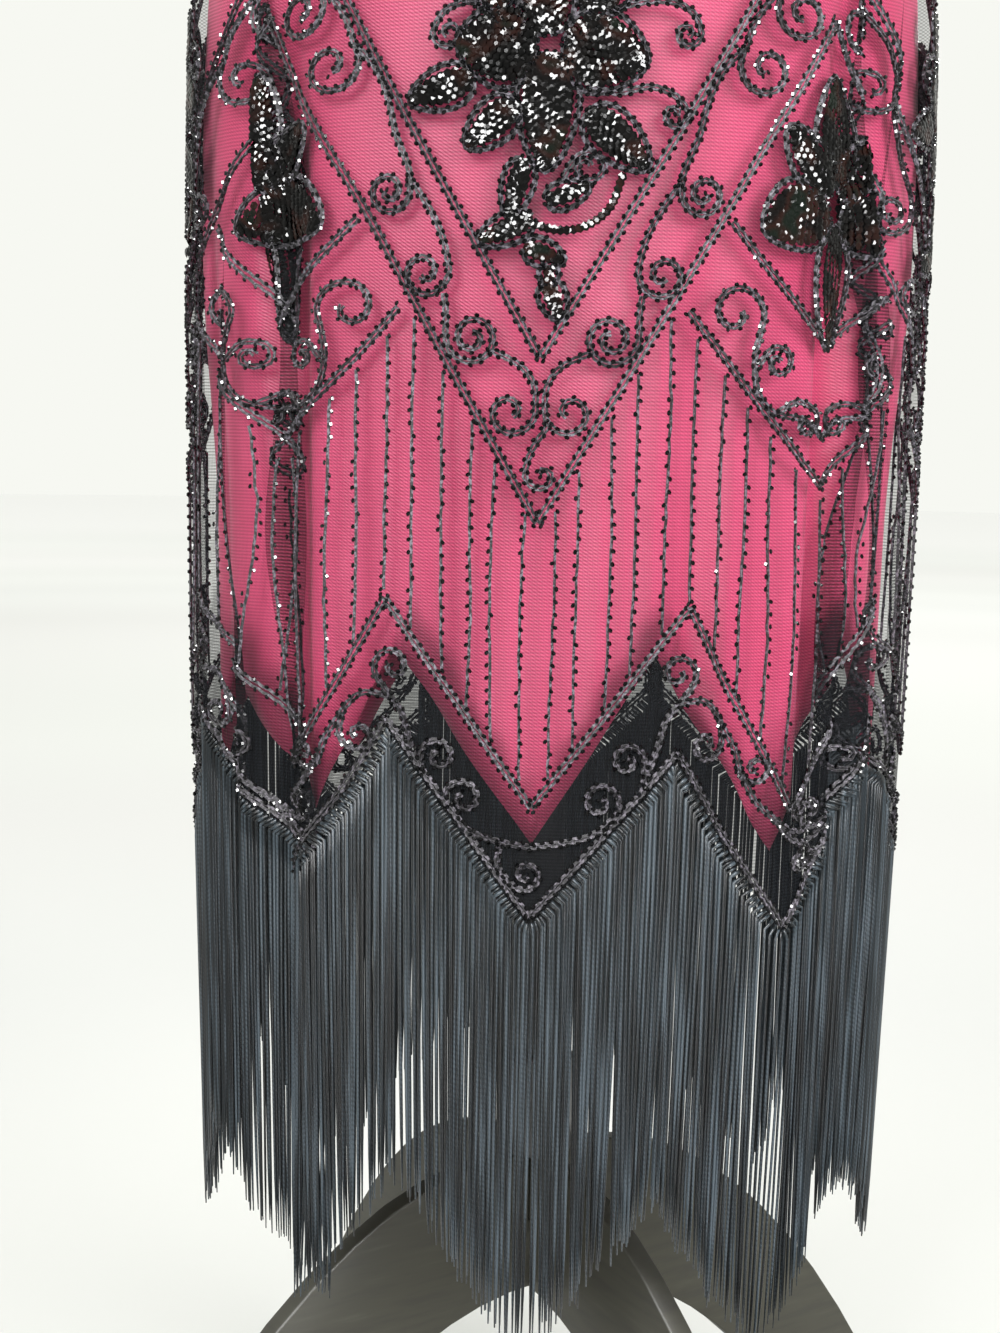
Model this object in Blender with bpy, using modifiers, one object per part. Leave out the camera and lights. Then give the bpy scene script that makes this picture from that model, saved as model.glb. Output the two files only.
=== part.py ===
"""Flapper dress on a limbless dress form, with its four-legged arched stand.

The dress is a straight sleeveless sheath in two layers. A satin slip hangs inside a looser net
overlay, and both have a zigzag hem. A long fringe hangs from the edge of the net. Each layer is a
front and a back panel that meet at the side seams and at the shoulders.

Frame: metres, +Z up, the front faces -Y, the wearer's left is +X. The origin is on the floor, in
the middle of the stand. Places round the dress are given in tenths of its girth, called steps:
0 is the centre front, 2.5 the side seam at +X, 5 the centre back and -2.5 the side seam at -X.
"""

import math

import bmesh
import bpy
import numpy as np

# ---- cloth walls and gaps
WALL = 0.0012
FRINGE_WALL = 0.003
HALF_SEAM_GAP = 0.00035
FRINGE_SEAM_GAP = 0.0011
FRINGE_DROP_GAP = 0.0012
TOUCH_GAP = 0.0003

# ---- the sheath
GIRTH_STEPS = 10
QUARTER = GIRTH_STEPS / 4
FRINGE_LENGTH = 0.208
SLIP_HEM_RISE = 0.037
# Inner face of the net by height, and how far inside it the slip's inner face lies.
# height, half_width, half_depth, slip_inset
SHEATH = (
    (0.180, 0.1790, 0.1400, 0.0150),
    (0.300, 0.1815, 0.1430, 0.0150),
    (0.410, 0.1840, 0.1450, 0.0150),
    (0.600, 0.1870, 0.1465, 0.0150),
    (0.800, 0.1860, 0.1450, 0.0140),
    (0.920, 0.1800, 0.1410, 0.0100),
    (1.000, 0.1740, 0.1370, 0.0060),
    (1.060, 0.1710, 0.1240, 0.0050),
    (1.120, 0.1690, 0.1030, 0.0050),
    (1.170, 0.1670, 0.0840, 0.0045),
    (1.210, 0.1560, 0.0680, 0.0040),
    (1.235, 0.1280, 0.0600, 0.0036),
    (1.255, 0.0940, 0.0550, 0.0036),
    (1.272, 0.0640, 0.0520, 0.0036),
)
# The net's zigzag hem, corner by corner round the dress.
# step, height
HEM = (
    (-2.50, 0.411),
    (-1.90, 0.490),
    (-1.06, 0.412),
    (-0.65, 0.497),
    (0.00, 0.408),
    (0.63, 0.485),
    (1.15, 0.398),
    (1.68, 0.495),
    (2.50, 0.413),
    (3.13, 0.492),
    (3.75, 0.409),
    (4.38, 0.490),
    (5.00, 0.411),
    (5.63, 0.493),
    (6.25, 0.407),
    (6.90, 0.489),
    (7.50, 0.411),
)
# Long soft folds of the loose net, pressed in from its round form.
# step, depth, half_spread, top_height
FOLDS = (
    (-1.28, 0.0095, 0.17, 0.95),
    (1.46, 0.0090, 0.17, 0.97),
    (-2.10, 0.0050, 0.15, 0.90),
    (2.12, 0.0045, 0.16, 0.85),
    (3.45, 0.0080, 0.20, 0.93),
    (4.40, 0.0050, 0.18, 0.88),
    (5.70, 0.0060, 0.20, 0.90),
    (6.62, 0.0085, 0.18, 0.96),
)
FOLD_FADE = 0.25
NET_COLUMNS = 5
SLIP_COLUMNS = 3

# ---- heights of the panels' level rows, from above the hem to below the chest
LEVEL_ROWS = (0.56, 0.64, 0.73, 0.82, 0.90, 0.97, 1.02)
STRAP_ROWS = 8
# ---- the openings of the bodice
FRONT_NECK_DEPTH = 1.105
BACK_NECK_DEPTH = 1.175
UNDERARM = 1.060
SHOULDER_NECK_SIDE = 1.2665
SHOULDER_ARM_SIDE = 1.2150
ARMHOLE_SCOOP = math.radians(30)

# ---- the form
FORM_SEAT_INSET = 0.0075
# height, half_width, half_depth
FORM_BODY = (
    (0.560, 0.1420, 0.1090),
    (0.572, 0.1510, 0.1170),
    (0.640, 0.1600, 0.1240),
    (0.740, 0.1480, 0.1140),
    (0.835, 0.1290, 0.0990),
    (0.915, 0.1400, 0.1080),
    (0.985, 0.1560, 0.1240),
    (1.050, 0.1590, 0.1170),
)
FORM_SHOULDER_HEIGHTS = (1.120, 1.170, 1.210, 1.235, 1.255, 1.272)
NECK_RADIUS = 0.0480
# height, half_width, half_depth
FORM_NECK = (
    (1.290, 0.0510, 0.0490),
    (1.310, NECK_RADIUS, NECK_RADIUS),
    (1.345, NECK_RADIUS, NECK_RADIUS),
)
FORM_SIDES = 40
NECK_TOP = FORM_NECK[-1][0]
FORM_BOTTOM = FORM_BODY[0][0]

# ---- the stand
POLE_RADIUS = 0.0125
HUB_RADIUS = 0.0200
HUB_BOTTOM = 0.2433
HUB_TOP = 0.2985
ARCH_THICKNESS = 0.012
ARCH_TOP = 0.243
ARCH_SEAT = 0.024
ARCH_REACH = 0.270
ARCH_TOE = 0.022
ARCH_CROWN = 0.166
ARCH_SPREAD = 0.2180
ARCH_STEPS = 12
HALVING_HEIGHT = 0.2045
HALVING_CLEARANCE = 0.0003
ARCH_TURNS = {"arch_a": math.radians(35), "arch_b": math.radians(125)}

# ---- colours (linear) and finishes
# name: red, green, blue, roughness
FINISHES = {
    "satin": (0.62, 0.045, 0.16, 0.45),
    "net": (0.020, 0.020, 0.024, 0.85),
    "fringe": (0.014, 0.019, 0.028, 0.55),
    "form_cover": (0.035, 0.034, 0.036, 0.90),
    "black_paint": (0.018, 0.018, 0.020, 0.40),
}


def clear_scene():
    for item in list(bpy.data.objects):
        bpy.data.objects.remove(item, do_unlink=True)


def new_collection(name):
    collection = bpy.data.collections.new(name)
    bpy.context.scene.collection.children.link(collection)
    return collection


def make_material(name):
    red, green, blue, roughness = FINISHES[name]
    material = bpy.data.materials.new(name)
    material.use_nodes = True
    shader = material.node_tree.nodes["Principled BSDF"]
    shader.inputs["Base Color"].default_value = (red, green, blue, 1.0)
    shader.inputs["Roughness"].default_value = roughness
    shader.inputs["Metallic"].default_value = 0.0
    return material


def read_smoothly(table, height, column):
    """The column's value at this height, on a smooth curve through the table's rows."""
    heights = [row[0] for row in table]
    values = [row[column] for row in table]
    height = min(max(height, heights[0]), heights[-1])
    last = len(heights) - 2
    i = min(max(int(np.searchsorted(heights, height, side="right")) - 1, 0), last)
    slopes = np.gradient(values, heights)
    span = heights[i + 1] - heights[i]
    t = (height - heights[i]) / span
    rise = values[i + 1] - values[i]
    start = slopes[i] * span
    end = slopes[i + 1] * span
    return values[i] + t * (start + t * (3 * rise - 2 * start - end + t * (start + end - 2 * rise)))


def girth_angles():
    """Even steps along the girth of the hip, as angles round the ellipse from the centre front."""
    angles = np.linspace(-math.pi, 2 * math.pi, 3001)
    width = read_smoothly(SHEATH, 0.6, 1)
    depth = read_smoothly(SHEATH, 0.6, 2)
    x = width * np.sin(angles)
    y = -depth * np.cos(angles)
    run = np.concatenate([[0.0], np.cumsum(np.hypot(np.diff(x), np.diff(y)))])
    run -= np.interp(0.0, angles, run)
    quarter_turn = np.interp(math.pi / 2, angles, run)
    return run / quarter_turn * QUARTER, angles


STEP_TABLE, ANGLE_TABLE = girth_angles()


def angle_at(step):
    return float(np.interp(step, STEP_TABLE, ANGLE_TABLE))


def step_at(angle):
    return float(np.interp(angle, ANGLE_TABLE, STEP_TABLE))


def fold_depth(step, height):
    """How far the net is pressed in here by its long folds."""
    depth = 0.0
    for centre, deepest, spread, top in FOLDS:
        away = (step - centre + GIRTH_STEPS / 2) % GIRTH_STEPS - GIRTH_STEPS / 2
        fade = min(max((top - height) / FOLD_FADE, 0.0), 1.0)
        depth += deepest * fade * fade * (3 - 2 * fade) * math.exp(-((away / spread) ** 2))
    return depth


def sheath_point(angle, height, inset, fold_share, shift_y):
    """A point on the sheath: angle round it from the centre front, inset inside the net's face."""
    pressed = inset + fold_share * fold_depth(step_at(angle), height)
    width = read_smoothly(SHEATH, height, 1) - pressed
    depth = read_smoothly(SHEATH, height, 2) - pressed
    return (width * math.sin(angle), shift_y - depth * math.cos(angle), height)


def slip_inset(height):
    return read_smoothly(SHEATH, height, 3)


def no_inset(height):
    return 0.0


def hem_columns(first_step, per_stretch):
    """Steps and hem heights of a panel's columns, from one side seam to the other."""
    corners = [row for row in HEM if first_step <= row[0] <= first_step + 2 * QUARTER]
    columns = [corners[0]]
    for (step_0, height_0), (step_1, height_1) in zip(corners, corners[1:]):
        for i in range(1, per_stretch + 1):
            t = i / per_stretch
            columns.append((step_0 + t * (step_1 - step_0), height_0 + t * (height_1 - height_0)))
    return columns


def neckline(share, neck_depth):
    """Angle and height on the straight neckline, from its lowest point to the shoulder seam."""
    height = neck_depth + share * (SHOULDER_NECK_SIDE - neck_depth)
    reach = share * read_smoothly(SHEATH, SHOULDER_NECK_SIDE, 1)
    return math.asin(min(reach / read_smoothly(SHEATH, height, 1), 1.0)), height


def armhole(share):
    """Angle and height on the armhole, from the underarm to the shoulder seam."""
    height = UNDERARM + share * (SHOULDER_ARM_SIDE - UNDERARM)
    return math.pi / 2 - ARMHOLE_SCOOP * math.sin(math.pi * share) ** 1.4, height


class Panel:
    """One half of a layer, as an open grid on the sheath: a body below and two straps above."""

    def __init__(self, name, first_step, per_stretch, hem_rise, inset, fold_share, neck_depth):
        self.name = name
        self.middle = first_step + QUARTER
        self.columns = hem_columns(first_step, per_stretch)
        self.hem_rise = hem_rise
        self.inset = inset
        self.fold_share = fold_share
        self.neck_depth = neck_depth
        self.faces_front = first_step < 0
        self.mesh = bmesh.new()

    def vertex(self, angle, height):
        shift = -HALF_SEAM_GAP if self.faces_front else HALF_SEAM_GAP
        place = sheath_point(angle, height, self.inset(height), self.fold_share, shift)
        return self.mesh.verts.new(place)

    def add_rows(self, rows):
        for low, high in zip(rows, rows[1:]):
            for i in range(len(low) - 1):
                self.mesh.faces.new((low[i], low[i + 1], high[i + 1], high[i]))

    def chest_height(self, angle_from_middle):
        share = 1 - abs(angle_from_middle) / (math.pi / 2)
        return UNDERARM + share * share * (self.neck_depth - UNDERARM)

    def build_body(self):
        middle_angle = angle_at(self.middle)
        angles = [angle_at(step) for step, _ in self.columns]
        rows = [[self.vertex(a, h + self.hem_rise) for a, (_, h) in zip(angles, self.columns)]]
        rows += [[self.vertex(a, height) for a in angles] for height in LEVEL_ROWS]
        rows.append([self.vertex(a, self.chest_height(a - middle_angle)) for a in angles])
        self.add_rows(rows)
        return [a - middle_angle for a in angles], rows[-1]

    def build_strap(self, side, offsets, chest_row):
        """One strap, from the chest row up to the shoulder seam; side is -1 or 1."""
        middle_angle = angle_at(self.middle)
        shares = [abs(offset) / (math.pi / 2) for offset in offsets]
        rows = [chest_row]
        for i in range(1, STRAP_ROWS + 1):
            share = 1 - (1 - i / STRAP_ROWS) ** 2
            neck_angle, neck_height = neckline(share, self.neck_depth)
            arm_angle, arm_height = armhole(share)
            row = []
            for q in shares:
                angle = middle_angle + side * (neck_angle + q * (arm_angle - neck_angle))
                row.append(self.vertex(angle, neck_height + q * (arm_height - neck_height)))
            rows.append(row)
        self.add_rows(rows)

    def build(self, collection, material):
        offsets, chest = self.build_body()
        centre = len(chest) // 2
        self.build_strap(-1, offsets[: centre + 1], chest[: centre + 1])
        self.build_strap(1, offsets[centre:], chest[centre:])
        return finish_wall(self.name, self.mesh, WALL, 1.0, collection, material)


def finish_wall(name, grid, thickness, offset, collection, material):
    """Turns an open grid into an object with a Solidify wall; offset 1 grows it outwards only."""
    data = bpy.data.meshes.new(name)
    grid.to_mesh(data)
    grid.free()
    item = bpy.data.objects.new(name, data)
    data.materials.append(material)
    data.shade_smooth()
    wall = item.modifiers.new("wall", "SOLIDIFY")
    wall.thickness = thickness
    wall.offset = offset
    wall.use_even_offset = True
    collection.objects.link(item)
    return item


def build_fringe(name, first_step, collection, material):
    """The reach of the fringe: a wall from just under the net's hem down to the tips."""
    grid = bmesh.new()
    shift = -FRINGE_SEAM_GAP / 2 if first_step < 0 else FRINGE_SEAM_GAP / 2
    outwards = -WALL / 2
    rows = []
    for share in (1.0, 0.5, 0.0):
        row = []
        for step, hem in hem_columns(first_step, 3):
            height = hem - FRINGE_DROP_GAP - share * FRINGE_LENGTH
            inset = outwards + share * fold_depth(step, hem)
            place = sheath_point(angle_at(step), max(height, SHEATH[0][0]), inset, 1 - share, shift)
            row.append(grid.verts.new((place[0], place[1], height)))
        rows.append(row)
    for low, high in zip(rows, rows[1:]):
        for i in range(len(low) - 1):
            grid.faces.new((low[i], low[i + 1], high[i + 1], high[i]))
    return finish_wall(name, grid, FRINGE_WALL, 0.0, collection, material)


def form_sections():
    shoulders = []
    for height in FORM_SHOULDER_HEIGHTS:
        width = read_smoothly(SHEATH, height, 1) - FORM_SEAT_INSET
        depth = read_smoothly(SHEATH, height, 2) - FORM_SEAT_INSET
        shoulders.append((height, width, depth))
    return [*FORM_BODY, *shoulders, *FORM_NECK]


def build_torso(collection, material):
    """The padded torso: a loft of level ellipses, closed below and at the neck."""
    solid = bmesh.new()
    rings = []
    for height, width, depth in form_sections():
        turns = [2 * math.pi * i / FORM_SIDES for i in range(FORM_SIDES)]
        rings.append([solid.verts.new((width * math.sin(t), -depth * math.cos(t), height)) for t in turns])
    for low, high in zip(rings, rings[1:]):
        for i in range(FORM_SIDES):
            j = (i + 1) % FORM_SIDES
            solid.faces.new((low[i], low[j], high[j], high[i]))
    solid.faces.new(list(reversed(rings[0])))
    solid.faces.new(rings[-1])
    data = bpy.data.meshes.new("form_torso")
    solid.to_mesh(data)
    solid.free()
    data.materials.append(material)
    data.shade_smooth()
    item = bpy.data.objects.new("form_torso", data)
    collection.objects.link(item)
    return item


def build_turned(name, profile, sides, collection, material):
    """A turned piece: a profile of (radius, height) from its top to its bottom, spun by Screw."""
    data = bpy.data.meshes.new(name)
    edges = [(i, i + 1) for i in range(len(profile) - 1)]
    data.from_pydata([(radius, 0.0, height) for radius, height in profile], edges, [])
    data.materials.append(material)
    item = bpy.data.objects.new(name, data)
    screw = item.modifiers.new("turn", "SCREW")
    screw.axis = "Z"
    screw.steps = sides
    screw.render_steps = sides
    screw.use_merge_vertices = True
    screw.merge_threshold = 0.0001
    screw.use_smooth_shade = True
    collection.objects.link(item)
    return item


def build_neck_cap(collection, material):
    bottom = NECK_TOP + TOUCH_GAP
    profile = (
        (0.0, bottom + 0.014),
        (0.018, bottom + 0.013),
        (0.036, bottom + 0.0095),
        (NECK_RADIUS, bottom + 0.004),
        (NECK_RADIUS, bottom),
        (0.0, bottom),
    )
    return build_turned("form_neck_cap", profile, 36, collection, material)


def build_pole(collection, material):
    top = FORM_BOTTOM - TOUCH_GAP
    bottom = HUB_TOP + TOUCH_GAP
    profile = ((0.0, top), (POLE_RADIUS, top), (POLE_RADIUS, bottom), (0.0, bottom))
    return build_turned("pole", profile, 24, collection, material)


def build_hub(collection, material):
    chamfer = 0.002
    profile = (
        (0.0, HUB_TOP),
        (HUB_RADIUS - chamfer, HUB_TOP),
        (HUB_RADIUS, HUB_TOP - chamfer),
        (HUB_RADIUS, HUB_BOTTOM + chamfer),
        (HUB_RADIUS - chamfer, HUB_BOTTOM),
        (0.0, HUB_BOTTOM),
    )
    return build_turned("hub", profile, 32, collection, material)


def arch_top(reach):
    """Height of an arch's upper edge: level under the hub, then a parabola to the toe."""
    fall = (ARCH_TOP - ARCH_TOE) / (ARCH_REACH - ARCH_SEAT) ** 2
    return ARCH_TOP - fall * max(abs(reach) - ARCH_SEAT, 0.0) ** 2


def arch_underside(reach):
    """Height of an arch's lower edge: a parabola from its crown to the inner end of the foot."""
    return ARCH_CROWN * (1 - (reach / ARCH_SPREAD) ** 2)


def slot_between(low, high):
    """The two sides of a halving slot, as points across the plank's middle."""
    half = ARCH_THICKNESS / 2 + HALVING_CLEARANCE
    return [(-half, low), (-half, high), (half, high), (half, low)]


def arch_outline(slot_from_above):
    """Outline of a plank: along its top from one toe to the other, then back under the arch."""
    steps = [ARCH_REACH * i / ARCH_STEPS for i in range(-ARCH_STEPS, ARCH_STEPS + 1)]
    top = [(reach, arch_top(reach)) for reach in steps]
    spread = [ARCH_SPREAD * i / ARCH_STEPS for i in range(ARCH_STEPS, -ARCH_STEPS - 1, -1)]
    under = [(reach, max(arch_underside(reach), 0.0)) for reach in spread]
    middle = ARCH_STEPS
    if slot_from_above:
        low = HALVING_HEIGHT - HALVING_CLEARANCE / 2
        top[middle : middle + 1] = slot_between(ARCH_TOP, low)
    else:
        high = HALVING_HEIGHT + HALVING_CLEARANCE / 2
        slot = slot_between(arch_underside(ARCH_THICKNESS / 2), high)
        under[middle : middle + 1] = list(reversed(slot))
    return [(-ARCH_REACH, 0.0), *top, (ARCH_REACH, 0.0), *under]


def build_arch(name, slot_from_above, collection, material):
    """A plank stood on edge: a flat filled outline, extruded to its thickness and turned."""
    points = arch_outline(slot_from_above)
    curve = bpy.data.curves.new(name, "CURVE")
    curve.dimensions = "2D"
    curve.fill_mode = "BOTH"
    curve.extrude = ARCH_THICKNESS / 2
    spline = curve.splines.new("POLY")
    spline.points.add(len(points) - 1)
    for point, (reach, height) in zip(spline.points, points):
        point.co = (reach, height, 0.0, 1.0)
    spline.use_cyclic_u = True
    curve.materials.append(material)
    item = bpy.data.objects.new(name, curve)
    item.rotation_euler = (math.pi / 2, 0.0, ARCH_TURNS[name])
    collection.objects.link(item)
    return item


def build_dress(collection, materials):
    satin = materials["satin"]
    net = materials["net"]
    left = -QUARTER
    Panel("slip_front", left, SLIP_COLUMNS, SLIP_HEM_RISE, slip_inset, 0.0, FRONT_NECK_DEPTH).build(
        collection, satin
    )
    Panel("slip_back", QUARTER, SLIP_COLUMNS, SLIP_HEM_RISE, slip_inset, 0.0, BACK_NECK_DEPTH).build(
        collection, satin
    )
    Panel("overlay_front", left, NET_COLUMNS, 0.0, no_inset, 1.0, FRONT_NECK_DEPTH).build(
        collection, net
    )
    Panel("overlay_back", QUARTER, NET_COLUMNS, 0.0, no_inset, 1.0, BACK_NECK_DEPTH).build(
        collection, net
    )
    build_fringe("fringe_front", left, collection, materials["fringe"])
    build_fringe("fringe_back", QUARTER, collection, materials["fringe"])


def build_stand(collection, materials):
    paint = materials["black_paint"]
    build_torso(collection, materials["form_cover"])
    build_neck_cap(collection, paint)
    build_pole(collection, paint)
    build_hub(collection, paint)
    build_arch("arch_a", True, collection, paint)
    build_arch("arch_b", False, collection, paint)


def main():
    clear_scene()
    collection = new_collection("flapper_dress_on_form")
    materials = {name: make_material(name) for name in FINISHES}
    build_dress(collection, materials)
    build_stand(collection, materials)


main()
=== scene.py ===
"""Looks of the flapper dress: satin slip, beaded net overlay, long fringe, dress form and stand.

Metres, +Z up, the front faces -Y and the wearer's left is +X. Places on the cloth are given as
(step, height): a step is a tenth of the girth at the hip, 0 is the centre front, 2.5 and -2.5
are the side seams and 5 is the centre back.
"""

import math
import random
from contextlib import contextmanager

import bpy
import numpy as np
from mathutils import Matrix, Vector


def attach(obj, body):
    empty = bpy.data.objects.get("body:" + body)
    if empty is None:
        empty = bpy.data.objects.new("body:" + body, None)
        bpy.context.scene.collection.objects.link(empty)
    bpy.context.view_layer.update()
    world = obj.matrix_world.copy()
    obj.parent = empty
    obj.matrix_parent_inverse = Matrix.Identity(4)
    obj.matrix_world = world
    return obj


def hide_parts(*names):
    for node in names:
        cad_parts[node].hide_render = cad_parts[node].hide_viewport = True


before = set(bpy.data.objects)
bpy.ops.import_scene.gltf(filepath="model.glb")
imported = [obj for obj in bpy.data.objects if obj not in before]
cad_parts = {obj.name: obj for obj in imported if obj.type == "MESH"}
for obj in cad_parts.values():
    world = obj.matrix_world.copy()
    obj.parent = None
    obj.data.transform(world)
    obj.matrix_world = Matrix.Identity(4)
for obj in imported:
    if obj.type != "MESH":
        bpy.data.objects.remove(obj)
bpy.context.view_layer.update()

MM = 0.001
HIP = 0.6
STEP = 0.1047
GIRTH_STEPS = 10
QUARTER = 2.5
CELL_CENTRES = (0.0, 2.5, 5.0, 7.5)

# ---- the sheath: inner face of the net by height, and how far inside it the slip's face lies
# height, half_width, half_depth, slip_inset
SHEATH = (
    (0.180, 0.1790, 0.1400, 0.0150),
    (0.300, 0.1815, 0.1430, 0.0150),
    (0.410, 0.1840, 0.1450, 0.0150),
    (0.600, 0.1870, 0.1465, 0.0150),
    (0.800, 0.1860, 0.1450, 0.0140),
    (0.920, 0.1800, 0.1410, 0.0100),
    (1.000, 0.1740, 0.1370, 0.0060),
    (1.060, 0.1710, 0.1240, 0.0050),
    (1.120, 0.1690, 0.1030, 0.0050),
    (1.170, 0.1670, 0.0840, 0.0045),
    (1.210, 0.1560, 0.0680, 0.0040),
    (1.235, 0.1280, 0.0600, 0.0036),
    (1.255, 0.0940, 0.0550, 0.0036),
    (1.272, 0.0640, 0.0520, 0.0036),
)
# The net's zigzag hem, corner by corner.
# step, height
HEM = (
    (-2.50, 0.411), (-1.90, 0.490), (-1.06, 0.412), (-0.65, 0.497), (0.00, 0.408),
    (0.63, 0.485), (1.15, 0.398), (1.68, 0.495), (2.50, 0.413), (3.13, 0.492),
    (3.75, 0.409), (4.38, 0.490), (5.00, 0.411), (5.63, 0.493), (6.25, 0.407),
    (6.90, 0.489), (7.50, 0.411),
)
# The slip's hem, and the upper beaded edge of the net's hem band, at the same corners.
SLIP_HEM = (
    (-2.50, 0.448), (-1.90, 0.527), (-1.12, 0.452), (-0.66, 0.534), (0.00, 0.445),
    (0.54, 0.533), (1.20, 0.438), (1.68, 0.530), (2.50, 0.450), (3.13, 0.529),
    (3.75, 0.446), (4.38, 0.527), (5.00, 0.448), (5.63, 0.530), (6.25, 0.444),
    (6.90, 0.526), (7.50, 0.448),
)
BAND_EDGE = (
    (-2.50, 0.469), (-1.90, 0.552), (-1.06, 0.474), (-0.66, 0.557), (0.00, 0.464),
    (0.66, 0.556), (1.17, 0.459), (1.70, 0.556), (2.50, 0.470), (3.13, 0.550),
    (3.75, 0.467), (4.38, 0.549), (5.00, 0.469), (5.63, 0.551), (6.25, 0.465),
    (6.90, 0.548), (7.50, 0.469),
)
# Long folds of the net, pressed in from its round form.
# step, depth, half_spread, top_height
FOLDS = (
    (-1.28, 0.0095, 0.17, 0.95), (1.46, 0.0090, 0.17, 0.97), (-2.10, 0.0050, 0.15, 0.90),
    (2.12, 0.0045, 0.16, 0.85), (3.45, 0.0080, 0.20, 0.93), (4.40, 0.0050, 0.18, 0.88),
    (5.70, 0.0060, 0.20, 0.90), (6.62, 0.0085, 0.18, 0.96),
)
# Where the loose net laps over itself in the folds.
# step, cloth taken up and half_width in steps, side that sinks, steps of slant a metre, top_height
LAPS = (
    (-2.28, 0.24, 0.05, -1, 0.0, 0.86), (-2.00, 0.36, 0.05, -1, 0.2, 0.90),
    (-1.64, 0.22, 0.05, -1, 0.3, 0.84), (-1.28, 0.62, 0.07, -1, 0.6, 0.96),
    (1.47, 0.38, 0.05, 1, -0.2, 0.97), (1.74, 0.62, 0.08, 1, -0.2, 0.92),
    (2.18, 0.36, 0.05, 1, 0.0, 0.85), (2.95, 0.18, 0.05, -1, 0.0, 0.80),
    (3.45, 0.32, 0.05, 1, 0.3, 0.93), (4.40, 0.22, 0.05, -1, -0.2, 0.88),
    (5.70, 0.26, 0.05, 1, 0.2, 0.90), (6.62, 0.44, 0.06, -1, 0.4, 0.96),
    (7.12, 0.20, 0.05, 1, 0.0, 0.82),
)
# Metres over which a fold dies out at its top.
FOLD_FADE = 0.25
# Steps beside a lap over which the cloth that it takes up is made good.
LAP_EASE = 0.60
LAP_DEPTH = 0.0034
# Height at which a slanting lap is on its own step, and its sway in steps, one sway in so many metres.
LAP_PIVOT = 0.68
LAP_WANDER = 0.030
LAP_WAVE = 0.31
# Shallow folds of the net between the long ones.
# step, depth, half_spread, top_height
NET_RIPPLES = (
    (-1.72, 0.0022, 0.07, 0.80), (-0.93, 0.0014, 0.09, 0.62), (-0.30, 0.0016, 0.08, 0.64),
    (0.34, 0.0012, 0.07, 0.60), (0.83, 0.0020, 0.07, 0.74), (1.20, 0.0014, 0.06, 0.78),
    (1.80, 0.0030, 0.06, 0.82), (2.80, 0.0020, 0.08, 0.75), (4.00, 0.0020, 0.10, 0.70),
    (4.92, 0.0018, 0.09, 0.66), (5.25, 0.0014, 0.07, 0.62), (6.15, 0.0022, 0.09, 0.78),
    (7.05, 0.0020, 0.08, 0.74),
)
# Soft folds of the slip.
# step, depth, half_spread, top_height
SLIP_FOLDS = (
    (-2.05, 0.0058, 0.16, 0.90), (-1.28, 0.0065, 0.15, 0.92), (-0.86, 0.0038, 0.10, 0.72),
    (-0.47, 0.0058, 0.12, 0.74), (-0.02, 0.0038, 0.13, 0.66), (0.38, 0.0043, 0.10, 0.64),
    (0.72, 0.0067, 0.10, 0.78), (1.10, 0.0043, 0.09, 0.72), (1.46, 0.0065, 0.13, 0.94),
    (2.12, 0.0058, 0.15, 0.86), (2.75, 0.0043, 0.15, 0.80), (3.45, 0.0065, 0.18, 0.92),
    (4.05, 0.0043, 0.12, 0.74), (4.42, 0.0052, 0.12, 0.82), (4.95, 0.0043, 0.14, 0.70),
    (5.35, 0.0035, 0.10, 0.66), (5.72, 0.0058, 0.13, 0.86), (6.20, 0.0041, 0.12, 0.74),
    (6.62, 0.0065, 0.16, 0.93), (7.15, 0.0049, 0.12, 0.80),
)

# ---- the bodice's openings
FRONT_NECK_DEPTH = 1.105
BACK_NECK_DEPTH = 1.175
UNDERARM = 1.060
SHOULDER_NECK_SIDE = 1.2665
SHOULDER_ARM_SIDE = 1.2150
ARMHOLE_SCOOP = math.radians(30)

# ---- cloth
SLIP_WALL = 0.0008
NET_LIFT = 0.0006
FRINGE_LENGTH = 0.208
# How much nearer the net than its inset the slip lies, at the front and back, then at the sides.
SLIP_NEARER = 0.0090
SLIP_NEARER_SIDE = 0.0070
SLIP_CLEARANCE = 0.0022
SLIP_FOLD_SHARE = 0.95
# Where that starts to fade upwards at the sides, then everywhere: height, metres of fading.
SLIP_SIDE_FADE = (0.72, 0.14)
SLIP_CHEST_FADE = (0.96, 0.20)
# Grids of the panels: steps between columns, rows of the body, rows of a strap.
SLIP_GRID = (0.043, 50, 12)
NET_GRID = (0.0195, 56, 16)
# Cut sizes: width, length and area.
NET_CUT_FRONT = (0.66, 0.87, 0.42)
NET_CUT_BACK = (0.61, 0.87, 0.42)


# ================================================================== lines and vectors
def unit(vectors):
    """The same vectors with a length of 1."""
    return vectors / np.maximum(np.linalg.norm(vectors, axis=-1, keepdims=True), 1e-9)


def run_along(points):
    """How far along a line of points each of them is."""
    return np.concatenate([[0.0], np.cumsum(np.linalg.norm(np.diff(points, axis=0), axis=1))])


def table_column(table, column):
    return [row[column] for row in table]


# ================================================================== the sheath's surface
def read_smoothly(table, heights, column):
    """The column's values at these heights, on a smooth curve through the table's rows."""
    knots = np.array(table_column(table, 0))
    values = np.array(table_column(table, column))
    slopes = np.gradient(values, knots)
    heights = np.clip(np.asarray(heights, float), knots[0], knots[-1])
    i = np.clip(np.searchsorted(knots, heights, side="right") - 1, 0, len(knots) - 2)
    span = knots[i + 1] - knots[i]
    t = (heights - knots[i]) / span
    rise = values[i + 1] - values[i]
    start, end = slopes[i] * span, slopes[i + 1] * span
    return values[i] + t * (start + t * (3 * rise - 2 * start - end + t * (start + end - 2 * rise)))


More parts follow.
